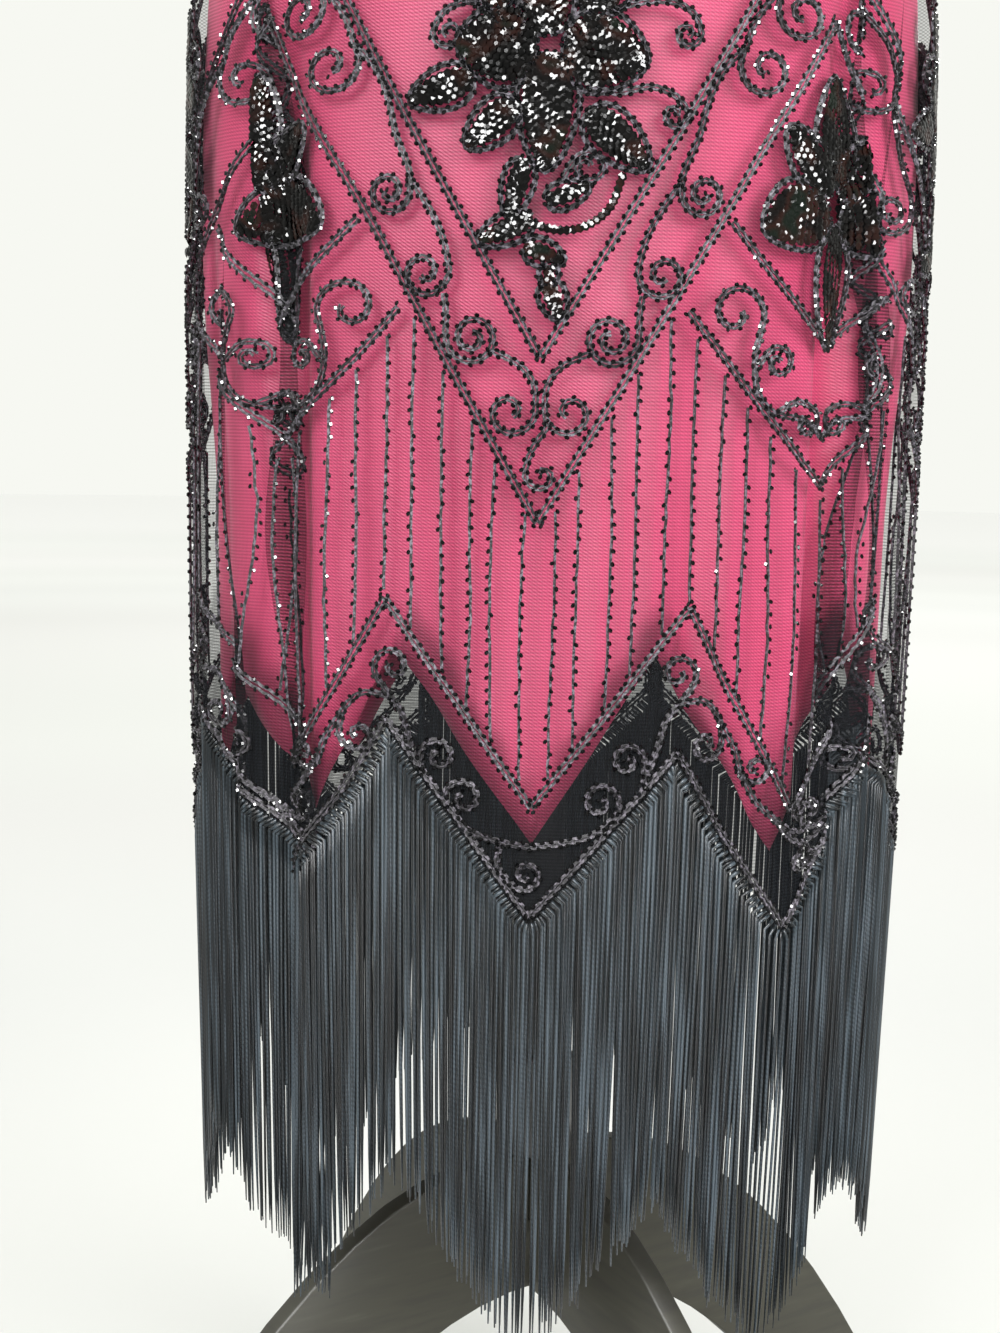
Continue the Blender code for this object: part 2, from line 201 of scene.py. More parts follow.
def girth_angles():
    """Even steps along the girth of the hip, as angles round the ellipse from the centre front."""
    angles = np.linspace(-math.pi, 2 * math.pi, 3001)
    x = read_smoothly(SHEATH, HIP, 1) * np.sin(angles)
    y = -read_smoothly(SHEATH, HIP, 2) * np.cos(angles)
    run = run_along(np.stack([x, y], -1))
    run -= np.interp(0.0, angles, run)
    return run / np.interp(math.pi / 2, angles, run) * QUARTER, angles


STEP_TABLE, ANGLE_TABLE = girth_angles()


def angle_at(steps):
    return np.interp(steps, STEP_TABLE, ANGLE_TABLE)


def step_at(angles):
    return np.interp(angles, ANGLE_TABLE, STEP_TABLE)


def round_away(steps, centre):
    """Signed way round the girth from a place, in steps."""
    return (steps - centre + GIRTH_STEPS / 2) % GIRTH_STEPS - GIRTH_STEPS / 2


def fade_below(heights, top, length):
    share = np.clip((top - heights) / length, 0.0, 1.0)
    return share * share * (3 - 2 * share)


def hollows(table, steps, heights):
    """How far a table of soft folds presses the cloth in."""
    depth = np.zeros(np.broadcast(steps, heights).shape)
    for centre, deep, spread, top in table:
        bell = np.exp(-((round_away(steps, centre) / spread) ** 2))
        depth += deep * fade_below(heights, top, FOLD_FADE) * bell
    return depth


def lapped(steps, heights):
    """Where the net's cloth hangs once its long folds have lapped over, and how far it sinks."""
    seen = steps + 0.0 * heights
    sink = np.zeros(seen.shape)
    for centre, cloth, width, side, slant, top in LAPS:
        wave = 2 * math.pi * heights / LAP_WAVE + 5 * centre
        middle = centre + slant * (LAP_PIVOT - heights) + LAP_WANDER * np.sin(wave)
        away = round_away(steps, middle)
        uneven = 0.86 + 0.22 * np.sin(1.7 * wave + centre)
        fade = fade_below(heights, top, FOLD_FADE) * uneven
        turn = 0.5 * np.tanh(1.1 * away / width)
        ease = 0.5 * np.sin(math.pi / 2 * np.clip(away / LAP_EASE, -1.0, 1.0))
        seen = seen - cloth * fade * (turn - ease)
        sink += LAP_DEPTH * fade * np.exp(-((away / width - 0.8 * side) ** 2))
    return seen, sink


def sheath_points(angles, heights, lift):
    """Points at these angles and heights, lifted outwards from the net's inner face."""
    width = read_smoothly(SHEATH, heights, 1) + lift
    depth = read_smoothly(SHEATH, heights, 2) + lift
    return np.stack([width * np.sin(angles), -depth * np.cos(angles), heights + 0.0 * angles], -1)


def net_points(steps, heights, lift=NET_LIFT):
    steps, heights = np.broadcast_arrays(np.asarray(steps, float), np.asarray(heights, float))
    seen, sink = lapped(steps, heights)
    sink = sink + hollows(FOLDS, seen, heights) + hollows(NET_RIPPLES, seen, heights)
    return sheath_points(angle_at(seen), heights, lift - sink)


def pressed_in(steps, heights):
    """How far the net's folds and laps press on the cloth under them."""
    press = hollows(FOLDS, steps, heights) + hollows(NET_RIPPLES, steps, heights)
    for centre, cloth, width, _, slant, top in LAPS:
        away = round_away(steps, centre + slant * (LAP_PIVOT - heights))
        bell = np.exp(-((away / (width + 0.35 * cloth)) ** 2))
        press = press + LAP_DEPTH * fade_below(heights, top, FOLD_FADE) * bell
    return press


def slip_points(steps, heights):
    """The slip's inner face: close under the net at the front and back, clear of it at the sides."""
    steps, heights = np.broadcast_arrays(np.asarray(steps, float), np.asarray(heights, float))
    side = np.sin(angle_at(steps)) ** 2
    low_side = side * (1 - fade_below(heights, *SLIP_SIDE_FADE))
    nearer = SLIP_NEARER * (1 - side) + SLIP_NEARER_SIDE * low_side
    nearer = nearer * fade_below(heights, *SLIP_CHEST_FADE)
    pressed = pressed_in(steps, heights) + SLIP_CLEARANCE
    inset = np.maximum(read_smoothly(SHEATH, heights, 3) - nearer, pressed)
    inset = inset + SLIP_FOLD_SHARE * hollows(SLIP_FOLDS, steps, heights)
    return sheath_points(angle_at(steps), heights, -inset)


def outward(points):
    """Unit normals of the round form at these points."""
    width = read_smoothly(SHEATH, points[:, 2], 1)
    depth = read_smoothly(SHEATH, points[:, 2], 2)
    return unit(np.stack([points[:, 0] / width**2, points[:, 1] / depth**2, 0 * width], -1))


def hem_height(steps, corners=HEM):
    wrapped = (np.asarray(steps, float) + QUARTER) % GIRTH_STEPS - QUARTER
    return np.interp(wrapped, table_column(corners, 0), table_column(corners, 1))


# ================================================================== the panels' openings
def is_front(steps):
    return np.abs(round_away(steps, 0.0)) <= QUARTER


def neck_depth_at(steps):
    return np.where(is_front(steps), FRONT_NECK_DEPTH, BACK_NECK_DEPTH)


def neck_angle(heights, neck_depth):
    share = np.clip((heights - neck_depth) / (SHOULDER_NECK_SIDE - neck_depth), 0.0, 1.0)
    reach = share * read_smoothly(SHEATH, SHOULDER_NECK_SIDE, 1)
    return np.arcsin(np.clip(reach / read_smoothly(SHEATH, heights, 1), 0.0, 1.0))


def arm_angle(share):
    return math.pi / 2 - ARMHOLE_SCOOP * np.sin(math.pi * np.clip(share, 0, 1)) ** 0.9


def offset_angle(steps):
    """Angle from the middle of the panel that this place is on, always positive."""
    away = np.where(is_front(steps), round_away(steps, 0.0), round_away(steps, 5.0))
    return np.abs(angle_at(away))


def on_net(steps, heights, margin):
    """True where a place lies on the net, at least margin metres inside its edges."""
    depth = neck_depth_at(steps)
    offset = offset_angle(steps)
    width = read_smoothly(SHEATH, heights, 1)
    inside = heights > hem_height(steps) + margin
    neck = neck_angle(heights + margin, depth) + margin / width
    inside &= (heights < depth - margin) | (offset > neck)
    share = (heights - UNDERARM + margin) / (SHOULDER_ARM_SIDE - UNDERARM)
    inside &= (heights < UNDERARM - margin) | (offset < arm_angle(share) - margin / width)
    across = np.clip(offset / math.asin(0.98), 0.0, 1.0)
    shoulder = SHOULDER_NECK_SIDE + across * (SHOULDER_ARM_SIDE - SHOULDER_NECK_SIDE)
    return inside & (heights < shoulder - margin)


# ================================================================== colours and materials
def colour(code):
    """Turns a #RRGGBB colour to the linear values that a shader takes."""
    parts = [int(code[i : i + 2], 16) / 255 for i in (1, 3, 5)]
    return (*[c / 12.92 if c <= 0.04045 else ((c + 0.055) / 1.055) ** 2.4 for c in parts], 1.0)


def new_material(name, base, roughness, **settings):
    """A material with its Principled shader; settings are more of the shader's own sockets."""
    material = bpy.data.materials.new(name)
    material.use_nodes = True
    shader = material.node_tree.nodes["Principled BSDF"]
    shader.inputs["Base Color"].default_value = colour(base)
    shader.inputs["Roughness"].default_value = roughness
    for socket, value in settings.items():
        shader.inputs[socket.replace("_", " ")].default_value = value
    return material, shader


def set_stops(ramp, stops):
    ramp.interpolation = "EASE"
    while len(ramp.elements) < len(stops):
        ramp.elements.new(0.5)
    for element, (position, code) in zip(ramp.elements, stops):
        element.position = position
        element.color = colour(code)


def add_node(material, kind, settings=None, **links):
    """Adds a node. settings go on it, on its sockets, or as a ramp's stops of (position, #RRGGBB);
    links say what feeds its sockets, by name or as i0, i1 and so on."""
    node = material.node_tree.nodes.new("ShaderNode" + kind)
    for key, value in (settings or {}).items():
        if key == "stops":
            set_stops(node.color_ramp, value)
        elif isinstance(key, str) and hasattr(node, key):
            setattr(node, key, value)
        else:
            node.inputs[key].default_value = value
    for socket, source in links.items():
        place = int(socket[1:]) if socket[0] == "i" and socket[1:].isdigit() else socket
        material.node_tree.links.new(source, node.inputs[place])
    return node


def feed(material, shader, **sources):
    """Links patterns to the shader's sockets."""
    for socket, source in sources.items():
        material.node_tree.links.new(source, shader.inputs[socket.replace("_", " ")])


# A Wave texture with a Scale of 1 has this many bands to a metre.
WAVE_BANDS = 3.18
TWILL_PITCH = 0.0013
NET_RIB_PITCH = 0.0016
NET_WALE_PITCH = 0.0011
CORD_TWIST = 0.0024
JERSEY_RIB_PITCH = 0.002


def satin_finish():
    # Polyester satin in raspberry pink, woven in a steep twill: a soft broad sheen, fine slanted
    # lines, and a little unevenness in the dye. The twill is drawn at 1.3 mm, about twice the
    # real pitch, so that it shows.
    material, shader = new_material(
        "raspberry_polyester_satin", "#EE5C8E", 0.46, Sheen_Weight=0.25, Sheen_Roughness=0.4,
        Specular_IOR_Level=0.12,
    )
    uv = add_node(material, "TexCoord").outputs["UV"]
    turned = add_node(material, "Mapping", {"Rotation": (0, 0, math.radians(33))}, Vector=uv)
    twill = add_node(
        material, "TexWave", {"wave_type": "BANDS", "bands_direction": "Y",
        "Scale": 1 / TWILL_PITCH / WAVE_BANDS, "Distortion": 0.8, "Detail": 1.0, "Detail Scale": 2.0},
        Vector=turned.outputs["Vector"],
    )
    cloudy = add_node(material, "TexNoise", {"Scale": 9.0, "Detail": 4.0}, Vector=uv)
    slub = add_node(material, "TexNoise", {"Scale": 900.0, "Detail": 2.0}, Vector=uv)
    tone = add_node(material, "Math", {"operation": "MULTIPLY_ADD", 1: 0.5}, i0=twill.outputs["Fac"],
                    i2=cloudy.outputs["Fac"])
    shade = add_node(
        material, "ValToRGB", {"stops": [(0.3, "#D9406F"), (0.62, "#EB4F80"), (0.95, "#F56891")]},
        Fac=tone.outputs[0],
    )
    height = add_node(material, "Math", {"operation": "MULTIPLY_ADD", 1: 0.4}, i0=slub.outputs["Fac"],
                      i2=twill.outputs["Fac"])
    bump = add_node(material, "Bump", {"Strength": 0.35, "Distance": 0.0004}, Height=height.outputs[0])
    feed(material, shader, Base_Color=shade.outputs["Color"], Normal=bump.outputs["Normal"])
    return material


def net_finish():
    # Warp-knitted polyester net: a see-through black mesh with level ribs 1.6 mm apart, denser in
    # the doubled band along the hem. The mesh between the ribs is too fine to show, so it thins
    # the whole rather than being drawn.
    cover = 0.27
    material, shader = new_material("black_tricot_net", "#0F1115", 0.8, Specular_IOR_Level=0.05)
    uv = add_node(material, "TexCoord").outputs["UV"]
    ribs = add_node(
        material, "TexWave", {"wave_type": "BANDS", "bands_direction": "Y",
        "Scale": 1 / NET_RIB_PITCH / WAVE_BANDS, "Distortion": 0.5, "Detail": 0.0}, Vector=uv,
    )
    wales = add_node(
        material, "TexWave", {"wave_type": "BANDS", "bands_direction": "X",
        "Scale": 1 / NET_WALE_PITCH / WAVE_BANDS, "Distortion": 0.4, "Detail": 0.0}, Vector=uv,
    )
    drift = add_node(material, "TexNoise", {"Scale": 30.0, "Detail": 3.0}, Vector=uv)
    rib_share = add_node(material, "Math", {"operation": "MULTIPLY_ADD", 1: 0.26, 2: cover - 0.20},
                         i0=ribs.outputs["Fac"])
    mesh_share = add_node(material, "Math", {"operation": "MULTIPLY_ADD", 1: 0.05},
                          i0=wales.outputs["Fac"], i2=rib_share.outputs[0])
    drifted = add_node(material, "Math", {"operation": "MULTIPLY_ADD", 1: 0.10},
                       i0=drift.outputs["Fac"], i2=mesh_share.outputs[0])
    band = add_node(material, "Attribute", {"attribute_name": "hem_band"})
    alpha = add_node(material, "Math", {"operation": "MULTIPLY_ADD", 1: 0.30, "use_clamp": True},
                     i0=band.outputs["Fac"], i2=drifted.outputs[0])
    bump = add_node(material, "Bump", {"Strength": 0.3, "Distance": 0.0003}, Height=ribs.outputs["Fac"])
    feed(material, shader, Alpha=alpha.outputs[0], Normal=bump.outputs["Normal"])
    return material


def bead_finish():
    # Cut glass seed beads, jet black: hard mirror-like facets that catch single points of light.
    material, shader = new_material(
        "black_cut_glass_bead", "#020203", 0.13, IOR=1.5, Specular_IOR_Level=0.20,
    )
    place = add_node(material, "TexCoord").outputs["Object"]
    lot = add_node(material, "TexNoise", {"Scale": 260.0, "Detail": 1.0}, Vector=place)
    shade = add_node(
        material, "ValToRGB", {"stops": [(0.35, "#020203"), (0.6, "#060608"), (0.72, "#1A1B1F")]},
        Fac=lot.outputs["Fac"],
    )
    feed(material, shader, Base_Color=shade.outputs["Color"])
    return material


def thread_finish():
    # Chain-stitched polyester thread in dark grey with a lilac cast: matt, mottled in small random
    # patches that paint light on its crests and shade between its loops.
    material, shader = new_material(
        "grey_lilac_chain_thread", "#7B757F", 0.6, Sheen_Weight=0.2, Specular_IOR_Level=0.11,
    )
    place = add_node(material, "TexCoord").outputs["Object"]
    painted_crests_and_gaps = add_node(material, "TexNoise", {"Scale": 640.0, "Detail": 2.0}, Vector=place)
    # The ramp paints light on the thread's crests and shade between its loops, in random patches.
    shade = add_node(
        material, "ValToRGB", {"stops": [(0.36, "#0E0D10"), (0.5, "#2F2C32"), (0.64, "#6E6873")]},
        Fac=painted_crests_and_gaps.outputs["Fac"],
    )
    bump = add_node(material, "Bump", {"Strength": 0.6, "Distance": 0.0004}, Height=painted_crests_and_gaps.outputs["Fac"])
    feed(material, shader, Base_Color=shade.outputs["Color"], Normal=bump.outputs["Normal"])
    return material


def sequin_finish():
    # Pressed polyester film sequins, black, with a brown and green sheen like a beetle's back painted
    # into their colour in patches.
    material, shader = new_material(
        "black_film_sequin", "#030303", 0.12, IOR=1.5, Specular_IOR_Level=0.11,
    )
    place = add_node(material, "TexCoord").outputs["Object"]
    film = add_node(material, "TexNoise", {"Scale": 70.0, "Detail": 1.0}, Vector=place)
    # The brown and green patches in the colour are the film's sheen, painted in.
    shade = add_node(
        material, "ValToRGB", {"stops": [
            (0.36, "#030303"), (0.5, "#060404"), (0.62, "#22100C"), (0.74, "#0C140E"),
        ]}, Fac=film.outputs["Fac"],
    )
    feed(material, shader, Base_Color=shade.outputs["Color"])
    return material


def fringe_finish():
    # Twisted rayon cord, blue-black: silky, with a sheen along each cord, a slanting twist 2.4 mm
    # long drawn as a bump and as painted light and shade, and a colour that differs from cord to cord:
    # the dye a little, and painted shade between the cords and painted sheen on some of them.
    material, shader = new_material(
        "blue_black_rayon_cord", "#2B333B", 0.45, Sheen_Weight=0.18, Sheen_Roughness=0.35,
        Specular_IOR_Level=0.17,
    )
    uv = add_node(material, "TexCoord").outputs["UV"]
    slanted = add_node(material, "Mapping", {"Scale": (1.0, 1 / CORD_TWIST, 1.0)}, Vector=uv)
    lean = add_node(material, "VectorMath", {"operation": "DOT_PRODUCT", 1: (1.0, 1.0, 0.0)},
                    i0=slanted.outputs["Vector"])
    twist = add_node(material, "Math", {"operation": "PINGPONG", 1: 0.5}, i0=lean.outputs["Value"])
    place = add_node(material, "TexCoord").outputs["Object"]
    long = add_node(material, "Mapping", {"Scale": (1.0, 1.0, 0.03)}, Vector=place)
    lot = add_node(material, "TexNoise", {"Scale": 330.0, "Detail": 2.0}, Vector=long.outputs["Vector"])
    # The twist's stripes and the cord-to-cord patches paint light and shade into the colour, over the
    # dye.
    tone = add_node(material, "Math", {"operation": "MULTIPLY_ADD", 1: 0.18}, i0=twist.outputs[0],
                    i2=lot.outputs["Fac"])
    shade = add_node(
        material, "ValToRGB", {"stops": [(0.38, "#050709"), (0.52, "#171E23"), (0.70, "#434D55")]},
        Fac=tone.outputs[0],
    )
    bump = add_node(material, "Bump", {"Strength": 0.3, "Distance": 0.0003}, Height=twist.outputs[0])
    feed(material, shader, Base_Color=shade.outputs["Color"], Normal=bump.outputs["Normal"])
    return material


def jersey_finish():
    # Cotton jersey stretched over the padded form, black: matt with a fine vertical rib.
    material, shader = new_material(
        "black_cotton_jersey", "#232224", 0.92, Sheen_Weight=0.35, Specular_IOR_Level=0.2,
    )
    place = add_node(material, "TexCoord").outputs["Object"]
    weave = add_node(material, "TexWave", {"wave_type": "RINGS", "rings_direction": "Z",
                     "Scale": 1 / JERSEY_RIB_PITCH / WAVE_BANDS, "Distortion": 0.6}, Vector=place)
    lint = add_node(material, "TexNoise", {"Scale": 240.0, "Detail": 3.0}, Vector=place)
    shade = add_node(
        material, "ValToRGB", {"stops": [(0.35, "#1B1A1C"), (0.7, "#2E2D30")]},
        Fac=lint.outputs["Fac"],
    )
    bump = add_node(material, "Bump", {"Strength": 0.3, "Distance": 0.0005}, Height=weave.outputs["Fac"])
    feed(material, shader, Base_Color=shade.outputs["Color"], Normal=bump.outputs["Normal"])
    return material


def painted_wood_finish():
    # Plywood painted satin black with a warm cast, brushed on: faint long strokes.
    material, shader = new_material(
        "satin_black_painted_plywood", "#38362F", 0.5, Specular_IOR_Level=0.2,
    )
    place = add_node(material, "TexCoord").outputs["Object"]
    strokes = add_node(material, "Mapping", {"Scale": (1.0, 1.0, 9.0)}, Vector=place)
    brush = add_node(material, "TexNoise", {"Scale": 26.0, "Detail": 6.0},
                     Vector=strokes.outputs["Vector"])
    shade = add_node(
        material, "ValToRGB", {"stops": [(0.3, "#383731"), (0.55, "#3D3C34"), (0.8, "#45443C")]},
        Fac=brush.outputs["Fac"],
    )
    bump = add_node(material, "Bump", {"Strength": 0.06, "Distance": 0.0004}, Height=brush.outputs["Fac"])
    feed(material, shader, Base_Color=shade.outputs["Color"], Normal=bump.outputs["Normal"])
    return material


def painted_metal_finish():
    # Steel tube with black powder coat: an even, slightly orange-peel satin.
    material, shader = new_material("black_powder_coated_steel", "#1C1C1E", 0.38, Coat_Weight=0.1)
    place = add_node(material, "TexCoord").outputs["Object"]
    peel = add_node(material, "TexNoise", {"Scale": 420.0, "Detail": 2.0}, Vector=place)
    tone = add_node(
        material, "ValToRGB", {"stops": [(0.3, "#18181A"), (0.7, "#222224")]},
        Fac=peel.outputs["Fac"],
    )
    bump = add_node(material, "Bump", {"Strength": 0.2, "Distance": 0.0003}, Height=peel.outputs["Fac"])
    feed(material, shader, Base_Color=tone.outputs["Color"], Normal=bump.outputs["Normal"])
    return material


FLOOR_RADIUS = 14.0


def floor_finish():
    # Matt paper, its colour graded by distance from the dress to even out the lamps: painted deeper
    # near it, where the lamps are strongest, and painted lighter far off, where they don't reach.
    material, shader = new_material("pale_paper_floor", "#CFCEC8", 0.95)
    place = add_node(material, "TexCoord").outputs["Object"]
    away = add_node(material, "VectorMath", {"operation": "LENGTH"}, i0=place)
    share = add_node(material, "Math", {"operation": "DIVIDE", 1: FLOOR_RADIUS}, i0=away.outputs["Value"])
    # Painted shade near the dress and painted light far off, graded by distance.
    shade = add_node(
        material, "ValToRGB", {"stops": [
            (0.032, "#CACBC8"), (0.086, "#C1C2C0"), (0.14, "#C2C2C0"), (0.20, "#C6C7C4"),
            (0.34, "#CDCDCB"), (0.41, "#D8D9D7"), (0.46, "#E2E3E1"), (0.52, "#EDEDEC"),
            (0.60, "#F3F4F3"), (0.71, "#F8F8F8"),
        ]}, Fac=share.outputs[0],
    )
    feed(material, shader, Base_Color=shade.outputs["Color"])
    return material


SATIN = satin_finish()
NET = net_finish()
BEAD = bead_finish()
THREAD = thread_finish()
SEQUIN = sequin_finish()
FRINGE = fringe_finish()
JERSEY = jersey_finish()
PAINTED_WOOD = painted_wood_finish()
PAINTED_METAL = painted_metal_finish()


# ================================================================== pieces
def deselect_all():
    if bpy.context.mode != "OBJECT":
        bpy.ops.object.mode_set(mode="OBJECT")
    bpy.ops.object.select_all(action="DESELECT")


def pick(item):
    deselect_all()
    item.select_set(True)
    bpy.context.view_layer.objects.active = item
    return item


@contextmanager
def editing(item):
    """Edit mode on this piece, with all of it selected."""
    pick(item)
    bpy.ops.object.mode_set(mode="EDIT")
    bpy.ops.mesh.select_all(action="SELECT")
    yield
    bpy.ops.object.mode_set(mode="OBJECT")


def finish_piece(item, name, material, replaced=()):
    item.name = name
    item.data.name = name
    item.data.materials.clear()
    item.data.materials.append(material)
    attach(item, "root")
    if replaced:
        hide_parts(*replaced)
    return item


def apply_modifiers(item):
    pick(item)
    for modifier in list(item.modifiers):
        bpy.ops.object.modifier_apply(modifier=modifier.name)


def shaped_grid(columns, rows, place):
    """A grid primitive with its corners moved: place takes shares across and up, both 0 to 1."""
    deselect_all()
    bpy.ops.mesh.primitive_grid_add(x_subdivisions=columns, y_subdivisions=rows, size=1.0)
    item = bpy.context.object
    corners = np.zeros(len(item.data.vertices) * 3)
    item.data.vertices.foreach_get("co", corners)
    corners = corners.reshape(-1, 3)
    across, up = corners[:, 0] + 0.5, corners[:, 1] + 0.5
    points, cloth = place(across, up)
    item.data.vertices.foreach_set("co", points.ravel())
    write_uv(item.data, cloth)
    return item


def write_uv(mesh, cloth):
    """Stores each corner's place on the flat cloth, in metres, as the mesh's UV map."""
    corners = np.zeros(len(mesh.loops), dtype=int)
    mesh.loops.foreach_get("vertex_index", corners)
    layer = mesh.uv_layers[0] if mesh.uv_layers else mesh.uv_layers.new(name="cloth")
    layer.uv.foreach_set("vector", cloth[corners].astype(np.float32).ravel())


def join_and_merge(parts, distance):
    pick(parts[0])
    for part in parts[1:]:
        part.select_set(True)
    bpy.ops.object.join()
    joined = bpy.context.object
    with editing(joined):
        bpy.ops.mesh.remove_doubles(threshold=distance)
        bpy.ops.mesh.normals_make_consistent(inside=False)
    return joined


def panel_columns(first_step, spacing, hem):
    """Steps of a panel's columns from seam to seam, with one on every corner of the hem."""
    corners = [step for step in table_column(hem, 0) if first_step <= step <= first_step + 2 * QUARTER]
    columns = [corners[0]]
    for start, end in zip(corners, corners[1:]):
        count = max(int(round((end - start) / spacing)), 1)
        columns += [start + (end - start) * (i + 1) / count for i in range(count)]
    return np.array(columns)


def cloth_panel(first_step, spacing, body_rows, strap_rows, hem, points):
    """One panel of a layer: a body grid from the hem to the chest, and two strap grids above it."""
    middle = first_step + QUARTER
    neck_depth = FRONT_NECK_DEPTH if first_step < 0 else BACK_NECK_DEPTH
    columns = panel_columns(first_step, spacing, hem)
    middle_angle = float(angle_at(middle))

    def chest(steps):
        share = 1 - np.abs(angle_at(steps) - middle_angle) / (math.pi / 2)
        return UNDERARM + share**2 * (neck_depth - UNDERARM)

    def body(across, up):
        steps = np.interp(across * (len(columns) - 1), np.arange(len(columns)), columns)
        low = hem_height(steps, hem)
        heights = low + up * (chest(steps) - low)
        return points(steps, heights), np.stack([steps * STEP, heights], -1)

    def strap(side, halves):
        def place(across, up):
            steps = np.interp(across * (len(halves) - 1), np.arange(len(halves)), halves)
            q = np.abs(angle_at(steps) - middle_angle) / (math.pi / 2)
            neck_height = neck_depth + up * (SHOULDER_NECK_SIDE - neck_depth)
            arm_height = UNDERARM + up * (SHOULDER_ARM_SIDE - UNDERARM)
            neck = neck_angle(neck_height, neck_depth)
            angles = middle_angle + side * (neck + q * (arm_angle(up) - neck))
            heights = neck_height + q * (arm_height - neck_height)
            bottom = up < 1e-6
            heights = np.where(bottom, chest(steps), heights)
            angles = np.where(bottom, angle_at(steps), angles)
            place_steps = step_at(angles)
            return points(place_steps, heights), np.stack([place_steps * STEP, heights], -1)

        return place

    centre = int(np.argmin(np.abs(columns - middle)))
    parts = [shaped_grid(len(columns) - 1, body_rows, body)]
    left, right = columns[: centre + 1], columns[centre:]
    parts.append(shaped_grid(len(left) - 1, strap_rows, strap(-1, left)))
    parts.append(shaped_grid(len(right) - 1, strap_rows, strap(1, right)))
    return join_and_merge(parts, 0.0002)


def face_outwards(item):
    """Turns an open panel's faces to point away from the middle of the dress."""
    mesh = item.data
    facing = sum(p.normal.x * p.center.x + p.normal.y * p.center.y for p in mesh.polygons)
    if facing < 0:
        with editing(item):
            bpy.ops.mesh.flip_normals()


def smooth_shade(item):
    pick(item)
    bpy.ops.object.shade_smooth()


def build_slip(name, first_step, node):
    item = cloth_panel(first_step, *SLIP_GRID, SLIP_HEM, slip_points)
    face_outwards(item)
    wall = item.modifiers.new("wall", "SOLIDIFY")
    wall.thickness = SLIP_WALL
    wall.offset = 1.0
    apply_modifiers(item)
    smooth_shade(item)
    return finish_piece(item, name, SATIN, (node,))


def build_net(name, first_step, node):
    item = cloth_panel(first_step, *NET_GRID, HEM, net_points)
    face_outwards(item)
    smooth_shade(item)
    corners = np.array([v.co for v in item.data.vertices])
    steps = step_at(np.arctan2(corners[:, 0], -corners[:, 1]) % (2 * math.pi))
    above = hem_height(steps, BAND_EDGE) - corners[:, 2]
    doubled = np.clip(above / 0.004 + 0.5, 0.0, 1.0)
    item.data.attributes.new("hem_band", "FLOAT", "POINT").data.foreach_set("value", doubled)
    return finish_piece(item, name, NET, (node,))


# ================================================================== small repeated pieces
BEAD_RADIUS = 0.98 * MM
BEAD_STRETCH = 1.35
SEQUIN_RADIUS = 2.2 * MM
SEQUIN_FLAT_RADIUS = 1.0 * MM
SEQUIN_DEPTH = 0.42 * MM


def triangle_model(item):
    """Takes a small primitive's mesh as corner and triangle arrays, and removes the primitive."""
    with editing(item):
        bpy.ops.mesh.quads_convert_to_tris()
    mesh = item.data
    corners = np.array([v.co for v in mesh.vertices])
    triangles = np.array([list(p.vertices) for p in mesh.polygons])
    bpy.data.objects.remove(item, do_unlink=True)
    bpy.data.meshes.remove(mesh)
    return corners, triangles


def bead_model():
    """A faceted bead 2.6 mm long and 2.0 mm thick, lying along X."""
    deselect_all()
    bpy.ops.mesh.primitive_uv_sphere_add(
        segments=4, ring_count=3, radius=BEAD_RADIUS, rotation=(0, math.pi / 2, 0)
    )
    item = bpy.context.object
    bpy.ops.object.transform_apply(location=False, rotation=True, scale=False)
    with editing(item):
        bpy.ops.transform.resize(value=(BEAD_STRETCH, 1.0, 1.0))
    return triangle_model(item)


def sequin_model():
    """A pressed sequin 4.4 mm across, raised 0.4 mm towards +Z at its flat middle."""
    deselect_all()
    bpy.ops.mesh.primitive_cone_add(
        vertices=6, radius1=SEQUIN_RADIUS, radius2=SEQUIN_FLAT_RADIUS, depth=SEQUIN_DEPTH,
        end_fill_type="NOTHING",
    )
    item = bpy.context.object
    with editing(item):
        bpy.ops.mesh.select_all(action="DESELECT")
    for vertex in item.data.vertices:
        vertex.select = vertex.co.z > 0
    bpy.ops.object.mode_set(mode="EDIT")
    bpy.ops.mesh.edge_face_add()
    bpy.ops.object.mode_set(mode="OBJECT")
    return triangle_model(item)


def mesh_piece(name, corners, faces):
    mesh = bpy.data.meshes.new(name)
    mesh.from_pydata(corners.tolist(), [], faces)
    item = bpy.data.objects.new(name, mesh)
    bpy.context.scene.collection.objects.link(item)
    return item


def sewn_on(name, model, places, axes):
    """One mesh of many copies: model's corners turned to each place's three axes."""
    corners, triangles = model
    copies = np.einsum("kc,ncd->nkd", corners, axes) + places[:, None, :]
    offsets = np.arange(len(places))[:, None, None] * len(corners)
    return mesh_piece(name, copies.reshape(-1, 3), (triangles[None] + offsets).reshape(-1, 3).tolist())


def tubes(name, runs, sides, with_uv=False):
    """One mesh of closed thin tubes. runs are (points, outward normals, radii)."""
    corners, faces, cloth, count = [], [], [], 0
    turn = 2 * math.pi * np.arange(sides) / sides
    cos, sin = np.cos(turn)[None, :, None], np.sin(turn)[None, :, None]
    for points, normals, radii in runs:
        along = unit(np.gradient(points, axis=0))
        across = unit(np.cross(normals, along))
        up = np.cross(along, across)
        ring = cos * across[:, None, :] + sin * up[:, None, :]
        corners.append((points[:, None, :] + ring * np.reshape(radii, (-1, 1, 1))).reshape(-1, 3))
        n = len(points)
        index = count + np.arange(n * sides).reshape(n, sides)
        low, high = index[:-1], index[1:]
        quads = np.stack([low, np.roll(low, -1, 1), np.roll(high, -1, 1), high], -1).reshape(-1, 4)
        faces += [*quads.tolist(), index[0][::-1].tolist(), index[-1].tolist()]
        share = np.broadcast_to(np.arange(sides) / sides, (n, sides))
        run = np.broadcast_to(run_along(points)[:, None], (n, sides))
        cloth.append(np.stack([share, run], -1).reshape(-1, 2))
        count += n * sides
    item = mesh_piece(name, np.concatenate(corners), faces)
    if with_uv:
        write_uv(item.data, np.concatenate(cloth))
    return item


